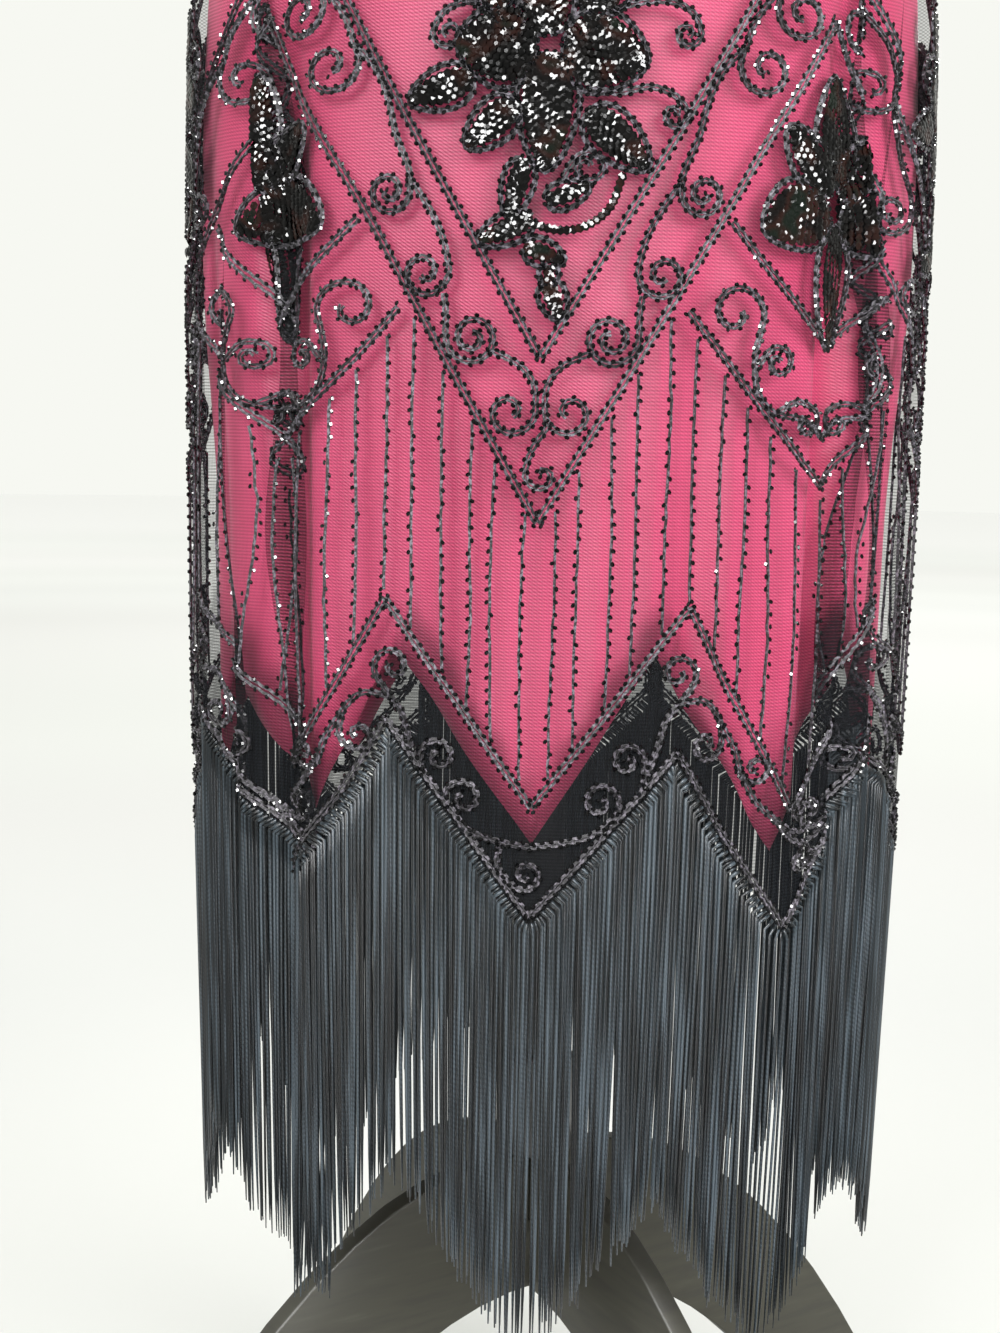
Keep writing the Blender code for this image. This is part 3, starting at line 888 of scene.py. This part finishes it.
# ================================================================== the beadwork's drawing
def smooth_line(knots, spacing):
    """A smooth curve through knots (steps, heights), sampled about every spacing metres."""
    knots = np.asarray(knots, float)
    if len(knots) == 2:
        length = np.linalg.norm((knots[1] - knots[0]) * (STEP, 1))
        t = np.linspace(0, 1, max(int(length / spacing), 1) + 1)[:, None]
        return knots[0] + t * (knots[1] - knots[0])
    ends = np.vstack([2 * knots[0] - knots[1], knots, 2 * knots[-1] - knots[-2]])
    t = np.linspace(0, 1, 9)[:-1, None]
    pieces = []
    for a, b, c, d in zip(ends, ends[1:], ends[2:], ends[3:]):
        bend = (2 * a - 5 * b + 4 * c - d) * t**2 + (3 * b - 3 * c + d - a) * t**3
        pieces.append(0.5 * (2 * b + (c - a) * t + bend))
    return resample(np.vstack([*pieces, knots[-1:]]), spacing)


def resample(line, spacing):
    run = run_along(line * (STEP, 1))
    count = max(int(round(run[-1] / spacing)), 1)
    at = np.linspace(0, run[-1], count + 1)
    return np.stack([np.interp(at, run, line[:, 0]), np.interp(at, run, line[:, 1])], -1)


def scroll(stem, centre, turns, sense):
    """A stem that winds into a spiral. Millimetres from the cell's centre line and the floor."""
    stem = np.asarray(stem, float)
    centre = np.asarray(centre, float)
    reach = stem[-1] - centre
    radius = np.linalg.norm(reach)
    start = math.atan2(reach[1], reach[0])
    turn = np.linspace(0, 2 * math.pi * turns, int(turns * 10) + 2)[1:]
    size = radius * (1 - 0.80 * turn / turn[-1])
    way = start + sense * turn
    return np.vstack([stem, centre + np.stack([size * np.cos(way), size * np.sin(way)], -1)])


# Running scrolls of the right arm of the big chevron, from the top down.
# stem, spiral centre, turns, sense
CHEVRON_SCROLLS = (
    (((124, 850), (112, 838), (104, 824)), (114, 816), 1.35, 1),
    (((103, 826), (92, 812), (87, 800)), (97, 791), 1.30, 1),
    (((87, 800), (76, 788), (70, 775), (66, 760), (60, 746), (59, 738)), (69, 736), 1.55, 1),
    (((59, 741), (50, 728), (44, 716), (41, 703)), (52, 701), 1.40, 1),
    (((43, 692), (42, 683), (42, 673)), (30, 673), 1.75, -1),
    (((21, 667), (9, 661), (3, 653), (2, 644)), (13, 641), 1.20, 1),
)
APEX_SCROLL = (
    (((4, 636), (-3, 625), (-6, 615)), (1.5, 613.5), 0.95, 1),
)
# Scrolls in the small inner chevron, right of the big one's lower line.
TUCKED_SCROLLS = (
    (((131, 632), (121, 640), (106, 643), (98, 652), (96, 666), (98, 678)), (86, 686), 1.15, 1),
    (((98, 664), (104, 671), (110, 671)), (107, 665), 1.10, -1),
    (((108, 643), (117, 648), (126, 645)), (122, 639), 0.95, -1),
)
# Scrolls in the band along the hem, right half.
BAND_SCROLLS = (
    (((0, 446), (14, 448), (28, 452), (38, 460)), (31, 467), 1.3, 1),
    (((30, 453), (42, 458), (50, 470), (51, 483)), (43, 486), 1.3, 1),
    (((50, 474), (56, 490), (60, 504), (66, 512), (72, 520)), (65, 526), 1.2, 1),
    (((66, 512), (78, 513), (86, 505), (88, 496)), (80, 493), 1.2, -1),
    (((86, 505), (94, 490), (97, 478)), (104, 481), 1.2, 1),
    (((96, 482), (104, 466), (114, 456), (123, 449)), (128, 456), 1.2, 1),
    (((114, 456), (124, 444), (131, 441)), (128, 434), 1.0, -1),
)
BAND_CURL = (
    (((-14, 447), (-15, 437), (-8, 428)), (-2, 433), 1.3, 1),
)
# Stems round the flower in the middle of a cell.
FLORAL_SCROLLS = (
    (((14, 800), (30, 812), (50, 816), (62, 812), (66, 804)), (60, 803), 1.2, -1),
    (((18, 780), (30, 777), (44, 780), (55, 777), (61, 770)), (55, 769), 1.1, -1),
    (((-14, 800), (-30, 814), (-44, 812), (-50, 803)), (-43, 802), 1.2, 1),
    (((8, 741), (12, 748), (18, 752), (25, 748)), (18, 746), 1.0, -1),
)
# Sequined petals and leaves of the centre flower.
# base across, base height, tip across, tip height, half width, all in millimetres
FLORAL_PETALS = (
    (-5, 796, -39, 798, 17.5),
    (7, 797, 43, 791, 17.0),
    (0, 801, -3, 834, 11.0),
    (15, 812, 38, 832, 9.5),
    (-17, 814, -38, 834, 9.5),
    (1, 793, 0, 744, 12.5),
    (-32, 783, -60, 774, 8.5),
    (-13, 773, -34, 754, 8.5),
    (18, 769, 44, 746, 9.5),
    (-9, 749, -15, 724, 6.0),
    (-5, 724, -28, 714, 6.0),
    (1, 731, 19, 738, 5.0),
    (-8, 712, 9, 706, 5.0),
    (3, 704, 2, 695, 3.4),
    (2, 697, 8, 681, 5.2),
)
FLORAL_ARCS = (((-6, 722), (6, 719), (18, 721), (28, 729), (33, 742)),)
# Sequined petals of the flower between two cells; the first ones are mirrored in its middle line.
SIDE_LINE = 131
SIDE_PETALS = (
    (125, 736, 98, 722, 15.0),
    (127, 741, 108, 768, 9.0),
)
SIDE_MIDDLE_PETALS = (
    (131, 746, 131, 792, 11.0),
    (131, 728, 131, 672, 8.0),
)


def in_cell(points_mm, centre, mirrored, rise=0.0):
    points = np.asarray(points_mm, float) * MM
    across = -points[:, 0] if mirrored else points[:, 0]
    return np.stack([centre + across / STEP, points[:, 1] + rise], -1)


# The beaded line outside a petal's outline, its sequins' rows, and how far in they stay.
PETAL_EDGE = 0.9 * MM
PETAL_INSET = 2.0 * MM
SEQUIN_ROW = 3.3 * MM
SEQUIN_PITCH = 3.0 * MM
SEQUIN_ARC_PITCH = 2.7 * MM


class Beadwork:
    """Collects the chain-stitched lines, their beads and the sequins, as places on the net."""

    def __init__(self):
        self.threads = {}
        self.beads = {}
        self.sequins = []
        self.dice = random.Random(1925)

    def runs_on_net(self, line, margin):
        """The stretches of a line that lie on the net."""
        inside = on_net(line[:, 0], line[:, 1], margin)
        cuts = np.flatnonzero(inside[1:] != inside[:-1]) + 1
        stretches = zip(np.split(line, cuts), np.split(inside, cuts))
        return [run for run, here in stretches if here[0] and len(run) > 2]

    def stitch(self, group, knots, pitch=4.6 * MM, width=1.35 * MM, margin=0.003):
        """A flat chain of two threads, with a bead on each side of it at every link."""
        threads = self.threads.setdefault(group, [])
        beads = self.beads.setdefault(group, [])
        for run in self.runs_on_net(smooth_line(knots, pitch / 2), margin):
            flat = run * (STEP, 1)
            way = unit(np.gradient(flat, axis=0))
            left = np.stack([-way[:, 1], way[:, 0]], -1)
            heading = np.arctan2(way[:, 1], way[:, 0])
            bulge = np.where(np.arange(len(run)) % 2 == 0, 0.44, 0.66) * width
            link = slice(0, None, 2)
            count = len(flat[link])
            for side in (-1, 1):
                threads.append((flat + left * (side * bulge)[:, None]) / (STEP, 1))
                loose = np.array([self.dice.uniform(0.85, 1.2) for _ in range(count)])
                late = np.array([self.dice.gauss(0.12 * side, 0.10) for _ in range(count)]) * pitch
                tilt = np.array([self.dice.gauss(0.3 * side, 0.3) for _ in range(count)])
                spots = flat[link] + left[link] * (side * width * loose)[:, None]
                spots = spots + way[link] * late[:, None]
                beads.append(np.column_stack([spots / (STEP, 1), heading[link] + tilt]))

    def single_row(self, group, knots, pitch=5.8 * MM, margin=0.003):
        """One thread with a bead beside it at every stitch, now on one side and now the other."""
        side = 1.0
        for run in self.runs_on_net(smooth_line(knots, pitch), margin):
            flat = run * (STEP, 1)
            sway = np.array([self.dice.gauss(0, 0.16) for _ in run]) * MM
            thread = (flat + np.stack([sway, 0 * sway], -1)) / (STEP, 1)
            self.threads.setdefault(group, []).append(thread)
            spots = []
            for x, z in flat:
                side = -side if self.dice.random() < 0.22 else side
                across = x + side * self.dice.uniform(0.8, 1.25) * MM
                spots.append((across / STEP, z, math.pi / 2 + self.dice.gauss(0.5 * side, 0.35)))
            self.beads.setdefault(group, []).append(np.array(spots))

    def petal(self, base, tip, half_width):
        """A petal filled with overlapping sequins in rows, edged with a beaded line."""
        base, tip = np.asarray(base) * (STEP, 1), np.asarray(tip) * (STEP, 1)
        length = np.linalg.norm(tip - base)
        way = (tip - base) / length
        left = np.array([-way[1], way[0]])

        def half(share):
            return half_width * math.sin(math.pi * min(max(share, 0.0), 1.0) ** 0.72) ** 0.62

        round_edge = [(i / 24, 1) for i in range(25)] + [(i / 24, -1) for i in range(24, -1, -1)]
        edge = [base + way * length * share + left * side * (half(share) + PETAL_EDGE)
                for share, side in round_edge]
        self.stitch("flower_edges", np.array(edge) / (STEP, 1), 4.8 * MM, 0.95 * MM)
        rows = max(int(round(2 * half_width / SEQUIN_ROW)), 1)
        heading = math.atan2(way[1], way[0])
        bent = (self.dice.gauss(0, 0.10), self.dice.gauss(0, 0.10))
        count = int(length / SEQUIN_PITCH)
        for row in range(rows):
            side = (row + 0.5) / rows * 2 - 1
            for i in range(count + 1):
                share = (i + 0.5 * (row % 2)) / max(count, 1)
                reach = half(share) - PETAL_INSET
                if not 0.03 < share < 0.98 or (reach < 0 and abs(side) > 0.5):
                    continue
                spot = base + way * length * share + left * side * max(reach, 0.0)
                lean = heading + side * 0.5 * (1 - 2 * share)
                self.sequins.append((*(spot / (STEP, 1)), lean, *bent))

    def sequin_arc(self, knots):
        line = smooth_line(knots, SEQUIN_ARC_PITCH)
        way = np.gradient(line * (STEP, 1), axis=0)
        for spot, (x, z) in zip(line, way):
            self.sequins.append((*spot, math.atan2(z, x), 0.0, 0.0))


def chevron(centre, side, bottom, slope, reach=QUARTER / 2):
    return [(centre, bottom), (centre + side * reach, bottom + slope * reach)]


# Chevron lines by their height at the cell's centre line, and their rise for each step.
INNER_CHEVRON = (0.6645, 0.1770)
OUTER_CHEVRON = (0.5926, 0.1785)
CHEST_RISE = 0.240
TUCK_UPPER = ((0.79, 0.7250), (1.25, 0.6730))
TUCK_LOWER = ((0.61, 0.6860), (1.25, 0.6100))
ROW_SPACING = 0.119
FLOWER_RISE = 0.215
# step of the middle of each half, depth of its neckline
HALVES = ((0.0, FRONT_NECK_DEPTH), (5.0, BACK_NECK_DEPTH))


def outer_line(away):
    """Height of the lowest slanting line at this many steps from a cell's centre line."""
    away = abs(away)
    big = OUTER_CHEVRON[0] + OUTER_CHEVRON[1] * away
    if away <= TUCK_LOWER[0][0]:
        return big
    share = (away - TUCK_LOWER[0][0]) / (TUCK_LOWER[1][0] - TUCK_LOWER[0][0])
    return min(big, TUCK_LOWER[0][1] + share * (TUCK_LOWER[1][1] - TUCK_LOWER[0][1]))


def draw_scrolls(work, group, table, centre, mirrored=False, rise=0.0):
    for row in table:
        work.stitch(group, in_cell(scroll(*row), centre, mirrored, rise))


def draw_cell(work, centre):
    for side in (-1, 1):
        mirrored = side < 0
        for rise in (0.0, CHEST_RISE):
            for bottom, slope in (INNER_CHEVRON, OUTER_CHEVRON):
                work.stitch("chevrons", chevron(centre, side, bottom + rise, slope), width=1.75 * MM)
            draw_scrolls(work, "scrolls", CHEVRON_SCROLLS, centre, mirrored, rise)
        for line in (TUCK_UPPER, TUCK_LOWER):
            knots = [(centre + side * step, height) for step, height in line]
            work.stitch("chevrons", knots, width=1.65 * MM)
        draw_scrolls(work, "scrolls", TUCKED_SCROLLS, centre, mirrored)
        draw_scrolls(work, "hem_band", BAND_SCROLLS, centre, mirrored)
    for rise in (0.0, CHEST_RISE):
        draw_scrolls(work, "scrolls", APEX_SCROLL, centre, rise=rise)
    draw_scrolls(work, "hem_band", BAND_CURL, centre)


def draw_petals(work, table, centre, rise=0.0):
    for base_across, base_height, tip_across, tip_height, half_width in table:
        ends = [(base_across, base_height), (tip_across, tip_height)]
        work.petal(*in_cell(ends, centre, False, rise), half_width * MM)


def draw_flower(work, centre, rise):
    draw_petals(work, FLORAL_PETALS, centre, rise)
    for arc in FLORAL_ARCS:
        work.sequin_arc(in_cell(arc, centre, False, rise))
    draw_scrolls(work, "flower_edges", FLORAL_SCROLLS, centre, rise=rise)


def draw_side_flower(work, centre):
    other_half = [
        (2 * SIDE_LINE - base_across, base_height, 2 * SIDE_LINE - tip_across, tip_height, half_width)
        for base_across, base_height, tip_across, tip_height, half_width in SIDE_PETALS
    ]
    draw_petals(work, (*SIDE_PETALS, *SIDE_MIDDLE_PETALS, *other_half), centre)


def draw_rows(work):
    """Single upright rows, from under the slanting lines down to the band along the hem."""
    count = int(round(GIRTH_STEPS / ROW_SPACING))
    for i in range(count):
        step = -QUARTER + (i + 0.5) * GIRTH_STEPS / count + work.dice.uniform(-0.012, 0.012)
        nearest = min(CELL_CENTRES + (-QUARTER,), key=lambda c: abs(round_away(step, c)))
        top = outer_line(float(round_away(step, nearest))) - 0.007
        low = float(hem_height(step, BAND_EDGE)) + 0.004
        knots = []
        for share in (0.0, 0.33, 0.67, 1.0):
            sway = work.dice.uniform(-0.008, 0.008)
            knots.append((step + sway, top + share * (low - top)))
        work.single_row("upright_rows", knots)


def draw_edges(work):
    """Beaded lines along the hem, the band's upper edge, the neckline and the armholes."""
    for (a, low), (b, high) in zip(HEM, HEM[1:]):
        work.stitch("hem_band", [(a, low + 0.005), (b, high + 0.005)], 4.4 * MM, 1.55 * MM, 0.001)
    for ends in zip(BAND_EDGE, BAND_EDGE[1:]):
        work.stitch("hem_band", ends, 4.4 * MM, 1.75 * MM)
    for middle, depth in HALVES:
        for side in (-1, 1):
            heights = np.linspace(depth, SHOULDER_NECK_SIDE - 0.004, 14)
            angles = neck_angle(heights, depth) + 0.004 / read_smoothly(SHEATH, heights, 1)
            shares = np.linspace(0.0, 0.97, 16)
            arm_heights = UNDERARM + shares * (SHOULDER_ARM_SIDE - UNDERARM)
            arm_angles = arm_angle(shares) - 0.005 / 0.17
            edges = ((angles, heights - 0.005), (arm_angles, arm_heights - 0.006 * (1 - shares)))
            for turned, height in edges:
                knots = np.column_stack([middle + side * step_at(turned), height])
                work.stitch("bodice_edges", knots, 4.8 * MM, 1.7 * MM, 0.001)


def draw_bodice_rows(work):
    """Upright rows on the bodice, from above the chest chevrons up to the neckline."""
    for middle, _ in HALVES:
        for i in range(-12, 13):
            step = middle + i * ROW_SPACING
            low = INNER_CHEVRON[0] + CHEST_RISE + INNER_CHEVRON[1] * abs(i) * ROW_SPACING + 0.008
            work.single_row("bodice_edges", [(step, low), (step, 1.26)], margin=0.010)


BEAD_LIFT = 1.25 * MM
THREAD_LIFT = 0.65 * MM
THREAD_RADIUS = 0.86 * MM
SEQUIN_LIFT = 1.5 * MM


def net_frame(steps, heights, lift):
    """Places on the net, with unit vectors round the girth, up the cloth and outwards."""
    places = net_points(steps, heights, lift)
    beyond = net_points(steps + 0.004, heights, lift)
    before = net_points(steps - 0.004, heights, lift)
    above = net_points(steps, heights + 0.001, lift)
    round_way = unit(beyond - before)
    out = unit(np.cross(round_way, unit(above - places)))
    return places, round_way, np.cross(out, round_way), out


def by_face(spots):
    front = is_front(spots[:, 0])
    return (("front", spots[front]), ("back", spots[~front]))


def turned_by(angles, round_way, up_way):
    return round_way * np.cos(angles)[:, None] + up_way * np.sin(angles)[:, None]


def build_beads(work):
    model = bead_model()
    made = []
    for group, parts in work.beads.items():
        for face, spots in by_face(np.vstack(parts)):
            places, round_way, up_way, out = net_frame(spots[:, 0], spots[:, 1], NET_LIFT)
            along = turned_by(spots[:, 2], round_way, up_way)
            axes = np.stack([along, np.cross(out, along), out], 1)
            item = sewn_on(f"beads_{group}_{face}", model, places + out * BEAD_LIFT, axes)
            made.append(finish_piece(item, item.name, BEAD))
    return made


def build_threads(work):
    made = []
    for group, lines in work.threads.items():
        for face in ("front", "back"):
            runs = []
            for line in lines:
                if (is_front(line[:, 0]).mean() >= 0.5) == (face == "front"):
                    places, _, _, out = net_frame(line[:, 0], line[:, 1], NET_LIFT)
                    runs.append((places + out * THREAD_LIFT, out, np.full(len(line), THREAD_RADIUS)))
            item = tubes(f"thread_{group}_{face}", runs, 3)
            made.append(finish_piece(item, item.name, THREAD))
    return made


def build_sequins(work):
    """Sequins tipped along their rows like scales, each petal bent its own way."""
    model = sequin_model()
    dice = random.Random(77)
    spots = np.array(work.sequins)
    spots = spots[on_net(spots[:, 0], spots[:, 1], 0.003)]
    made = []
    for face, chosen in by_face(spots):
        places, round_way, up_way, out = net_frame(chosen[:, 0], chosen[:, 1], NET_LIFT)
        along = turned_by(chosen[:, 2], round_way, up_way)
        across = np.cross(out, along)
        swell = 0.15 * np.sin(chosen[:, 0] * 31 + chosen[:, 1] * 240)
        tip = np.array([0.13 + dice.gauss(0, 0.055) for _ in chosen]) + chosen[:, 3] + swell
        roll = np.array([dice.gauss(0, 0.06) for _ in chosen]) + chosen[:, 4] + swell
        tip, roll = tip[:, None], roll[:, None]
        face_out = unit(out * np.cos(tip) + along * np.sin(tip) + across * np.sin(roll))
        first = unit(np.cross(across, face_out))
        axes = np.stack([first, np.cross(face_out, first), face_out], 1)
        item = sewn_on(f"sequins_{face}", model, places + out * SEQUIN_LIFT, axes)
        made.append(finish_piece(item, item.name, SEQUIN))
    return made


# ================================================================== the fringe
CORD_RADIUS = 1.02 * MM
CORD_SIDES = 4
CORDS_PER_LAYER = 290
# Where the two layers hang under the net, the stretch that leaves the hem square to it, and the
# lowest place for a cord's end.
LAYER_LIFTS = (-0.7 * MM, 0.8 * MM)
CORD_HEADER = 0.0052
CORD_LOWEST = 0.184
CORD_KNOTS = (0.06, 0.2, 0.42, 0.66, 0.86, 1.0)


def hem_lean(step):
    """Slope of the hem here, as metres of rise for each metre round."""
    rise = float(hem_height(step + 0.06) - hem_height(step - 0.06))
    return rise / (0.12 * STEP)


def build_fringe(name, first_step, node, seed):
    """Two staggered layers of twisted cords that leave the hem square to it and then hang."""
    dice = random.Random(seed)
    runs = []
    edge = np.linspace(first_step + 0.02, first_step + 2 * QUARTER - 0.02, 4001)
    along_hem = run_along(net_points(edge, hem_height(edge))[:, :2])
    # Neighbours drift together, so the cords hang in loose bunches with gaps between.
    bunches = [0.0]
    for _ in range(CORDS_PER_LAYER + 1):
        bunches.append(0.82 * bunches[-1] + dice.gauss(0, 0.0085))
    spacing = 2 * QUARTER / CORDS_PER_LAYER
    for layer, lift in enumerate(LAYER_LIFTS):
        for i in range(CORDS_PER_LAYER):
            share = (i + 0.5 + 0.5 * layer) / CORDS_PER_LAYER
            step = float(np.interp(share * along_hem[-1], along_hem, edge))
            step += dice.uniform(-0.0035, 0.0035)
            hem = float(hem_height(step))
            lean = max(min(hem_lean(step), 2.2), -2.2)
            across, down = lean / math.hypot(lean, 1.0), 1.0 / math.hypot(lean, 1.0)
            length = FRINGE_LENGTH + dice.gauss(0, 0.0028) - 0.004 * layer
            if dice.random() < 0.03:
                length += dice.uniform(0.004, 0.010)
            drift = bunches[i + 1] - 0.4 * layer * spacing + dice.gauss(0, 0.0028)
            steps = [step + across * CORD_HEADER * part / STEP for part in (0.0, 0.5, 1.0)]
            heights = [hem + 0.001 - part * CORD_HEADER * down for part in (0.0, 0.5, 1.0)]
            start, bottom = heights[-1], max(hem - length, CORD_LOWEST)
            for part in CORD_KNOTS:
                steps.append(steps[2] + drift * part**1.6 + 0.0010 * math.sin(7 * part + i))
                heights.append(start + part * (bottom - start))
            steps, heights = np.array(steps), np.array(heights)
            at_hem = np.full(steps.shape, hem)
            seen, sink = lapped(steps, at_hem)
            sink = sink + hollows(FOLDS, seen, at_hem) + hollows(NET_RIPPLES, seen, at_hem)
            fall = np.clip((hem - heights) / FRINGE_LENGTH, 0, 1)
            points = sheath_points(angle_at(seen), heights, lift - sink * (1 - 0.45 * fall))
            radii = CORD_RADIUS * dice.uniform(0.9, 1.06) * (1 - 0.26 * fall)
            radii[-1] *= 0.45
            runs.append((points, outward(points), radii))
    item = tubes(name, runs, CORD_SIDES, with_uv=True)
    smooth_shade(item)
    return finish_piece(item, name, FRINGE, (node,))


# ================================================================== the form and the stand
FORM_SEAT_INSET = 0.0075
# height, half_width, half_depth
FORM_BODY = (
    (0.560, 0.1420, 0.1090),
    (0.572, 0.1510, 0.1170),
    (0.640, 0.1600, 0.1240),
    (0.740, 0.1480, 0.1140),
    (0.835, 0.1290, 0.0990),
    (0.915, 0.1400, 0.1080),
    (0.985, 0.1560, 0.1240),
    (1.050, 0.1590, 0.1170),
)
FORM_SHOULDER_HEIGHTS = (1.120, 1.170, 1.210, 1.235, 1.255, 1.272)
FORM_NECK = ((1.290, 0.0510, 0.0490), (1.310, 0.0480, 0.0480), (1.345, 0.0480, 0.0480))
FORM_COLUMNS = 72
FORM_ROWS = 66


def form_table():
    shoulders = []
    for height in FORM_SHOULDER_HEIGHTS:
        width = float(read_smoothly(SHEATH, height, 1)) - FORM_SEAT_INSET
        depth = float(read_smoothly(SHEATH, height, 2)) - FORM_SEAT_INSET
        shoulders.append((height, width, depth))
    return (*FORM_BODY, *shoulders, *FORM_NECK)


def build_form_cover():
    """The padded torso's cover: a grid rolled round the form, merged at its seam and closed."""
    table = form_table()
    low, high = table[0][0], table[-1][0]

    def place(across, up):
        angle = across * 2 * math.pi
        heights = low + up * (high - low)
        width = np.interp(heights, table_column(table, 0), table_column(table, 1))
        depth = np.interp(heights, table_column(table, 0), table_column(table, 2))
        points = np.stack([width * np.sin(angle), -depth * np.cos(angle), heights], -1)
        return points, np.stack([across, up], -1)

    item = shaped_grid(FORM_COLUMNS, FORM_ROWS, place)
    with editing(item):
        bpy.ops.mesh.remove_doubles(threshold=0.00005)
        bpy.ops.mesh.select_all(action="DESELECT")
        bpy.ops.mesh.select_non_manifold(extend=False)
        bpy.ops.mesh.edge_face_add()
        bpy.ops.mesh.select_all(action="SELECT")
        bpy.ops.mesh.normals_make_consistent(inside=False)
    bpy.ops.object.shade_smooth_by_angle(angle=math.radians(50))
    return finish_piece(item, "form_cover", JERSEY, ("form_torso",))


def build_arch_planks():
    """The crossed planks with their edges rounded, each on a merged copy of its solid."""
    for node in ("arch_a", "arch_b"):
        source = bpy.data.objects[node]
        item = source.copy()
        item.data = source.data.copy()
        bpy.context.scene.collection.objects.link(item)
        with editing(item):
            bpy.ops.mesh.remove_doubles(threshold=0.00001)
            bpy.ops.mesh.dissolve_limited(angle_limit=math.radians(1))
        soften = item.modifiers.new("soften", "BEVEL")
        soften.width = 0.0012
        soften.segments = 2
        soften.limit_method = "ANGLE"
        soften.angle_limit = math.radians(50)
        apply_modifiers(item)
        bpy.ops.object.shade_smooth_by_angle(angle=math.radians(40))
        finish_piece(item, f"plank_{node}", PAINTED_WOOD, (node,))


def finish_nodes():
    """The turned and tubular nodes keep their shape and get their paint."""
    painted = {"form_neck_cap": PAINTED_WOOD, "pole": PAINTED_METAL, "hub": PAINTED_METAL}
    for node, material in painted.items():
        item = bpy.data.objects[node]
        item.data.materials.clear()
        item.data.materials.append(material)


# ================================================================== studio
CAMERA_PLACE = (0.032, -0.943, 0.636)
CAMERA_LENS = 48.6
CAMERA_PITCH = math.radians(7.7)
CAMERA_YAW = math.radians(3.4)
CAMERA_ROLL = math.radians(1.1)


def build_camera():
    data = bpy.data.cameras.new("camera")
    data.lens = CAMERA_LENS
    data.sensor_width = 36.0
    data.clip_start, data.clip_end = 0.05, 60.0
    camera = bpy.data.objects.new("camera", data)
    bpy.context.scene.collection.objects.link(camera)
    right = Vector((math.cos(CAMERA_YAW), math.sin(CAMERA_YAW), 0.0))
    level = Vector((-math.sin(CAMERA_YAW), math.cos(CAMERA_YAW), 0.0))
    ahead = math.cos(CAMERA_PITCH) * level + Vector((0.0, 0.0, -math.sin(CAMERA_PITCH)))
    up = right.cross(ahead)
    across = math.cos(CAMERA_ROLL) * right + math.sin(CAMERA_ROLL) * up
    upright = -math.sin(CAMERA_ROLL) * right + math.cos(CAMERA_ROLL) * up
    turn = Matrix((across, upright, -ahead)).transposed()
    camera.matrix_world = Matrix.Translation(CAMERA_PLACE) @ turn.to_4x4()
    bpy.context.scene.camera = camera


# Wide lamps light the cloth, and the small panes are seen only as glints in what is polished.
# name, place, aimed at, size, power in watts, whether only polished things show it
LAMPS = (
    ("wide_window", (-2.9, -4.7, 3.9), (0.0, 0.0, 0.6), 3.6, 236.0, False),
    ("fill_window", (4.3, -3.2, 2.6), (0.0, 0.0, 0.5), 3.2, 285.0, False),
    ("back_wash", (0.8, 4.7, 4.2), (0.0, 0.0, 0.7), 3.6, 145.0, False),
    ("left_pane", (-0.9, -1.7, 1.5), (0.0, -0.1, 0.7), 0.60, 165.0, True),
    ("right_pane", (0.80, -1.6, 1.3), (0.0, -0.1, 0.7), 0.54, 135.0, True),
    ("low_pane", (0.25, -1.6, 0.25), (0.0, -0.1, 0.7), 0.30, 34.0, True),
    ("high_pane", (0.10, -1.4, 2.0), (0.0, -0.1, 0.7), 0.54, 130.0, True),
    ("back_pane", (0.6, 1.8, 1.5), (0.0, 0.1, 0.7), 0.45, 70.0, True),
)


def build_lights():
    for name, place, target, size, power, only_shine in LAMPS:
        data = bpy.data.lights.new(name, "AREA")
        data.size = size
        data.energy = power
        lamp = bpy.data.objects.new(name, data)
        bpy.context.scene.collection.objects.link(lamp)
        lamp.location = place
        aim = Vector(target) - Vector(place)
        lamp.rotation_euler = aim.to_track_quat("-Z", "Y").to_euler()
        lamp.visible_diffuse = not only_shine
        lamp.visible_glossy = only_shine
    world = bpy.data.worlds.new("pale_room")
    bpy.context.scene.world = world
    world.use_nodes = True
    sky = world.node_tree.nodes["Background"]
    sky.inputs["Color"].default_value = colour("#F7F8F2")
    sky.inputs["Strength"].default_value = 1.0
    bpy.context.scene.view_settings.view_transform = "Standard"


def build_floor():
    deselect_all()
    bpy.ops.mesh.primitive_circle_add(vertices=128, radius=FLOOR_RADIUS, fill_type="NGON")
    floor = bpy.context.object
    floor.name = "floor"
    floor.data.materials.append(floor_finish())


# ================================================================== the whole
def main():
    build_camera()
    build_lights()
    build_floor()
    work = Beadwork()
    for centre in CELL_CENTRES:
        draw_cell(work, centre)
        draw_flower(work, centre, 0.0)
        draw_side_flower(work, centre)
        draw_flower(work, centre + QUARTER / 2, FLOWER_RISE)
    draw_rows(work)
    draw_edges(work)
    draw_bodice_rows(work)
    slips = [
        build_slip("satin_slip_front", -QUARTER, "slip_front"),
        build_slip("satin_slip_back", QUARTER, "slip_back"),
    ]
    nets = [
        build_net("net_overlay_front", -QUARTER, "overlay_front"),
        build_net("net_overlay_back", QUARTER, "overlay_back"),
    ]
    fringes = [
        build_fringe("fringe_cords_front", -QUARTER, "fringe_front", 11),
        build_fringe("fringe_cords_back", QUARTER, "fringe_back", 12),
    ]
    trims = build_beads(work) + build_threads(work) + build_sequins(work)
    build_form_cover()
    build_arch_planks()
    finish_nodes()
    halves = zip(slips, nets, fringes, ("front", "back"), (NET_CUT_FRONT, NET_CUT_BACK))
    for slip, net, fringe, face, (width, length, area) in halves:
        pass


main()
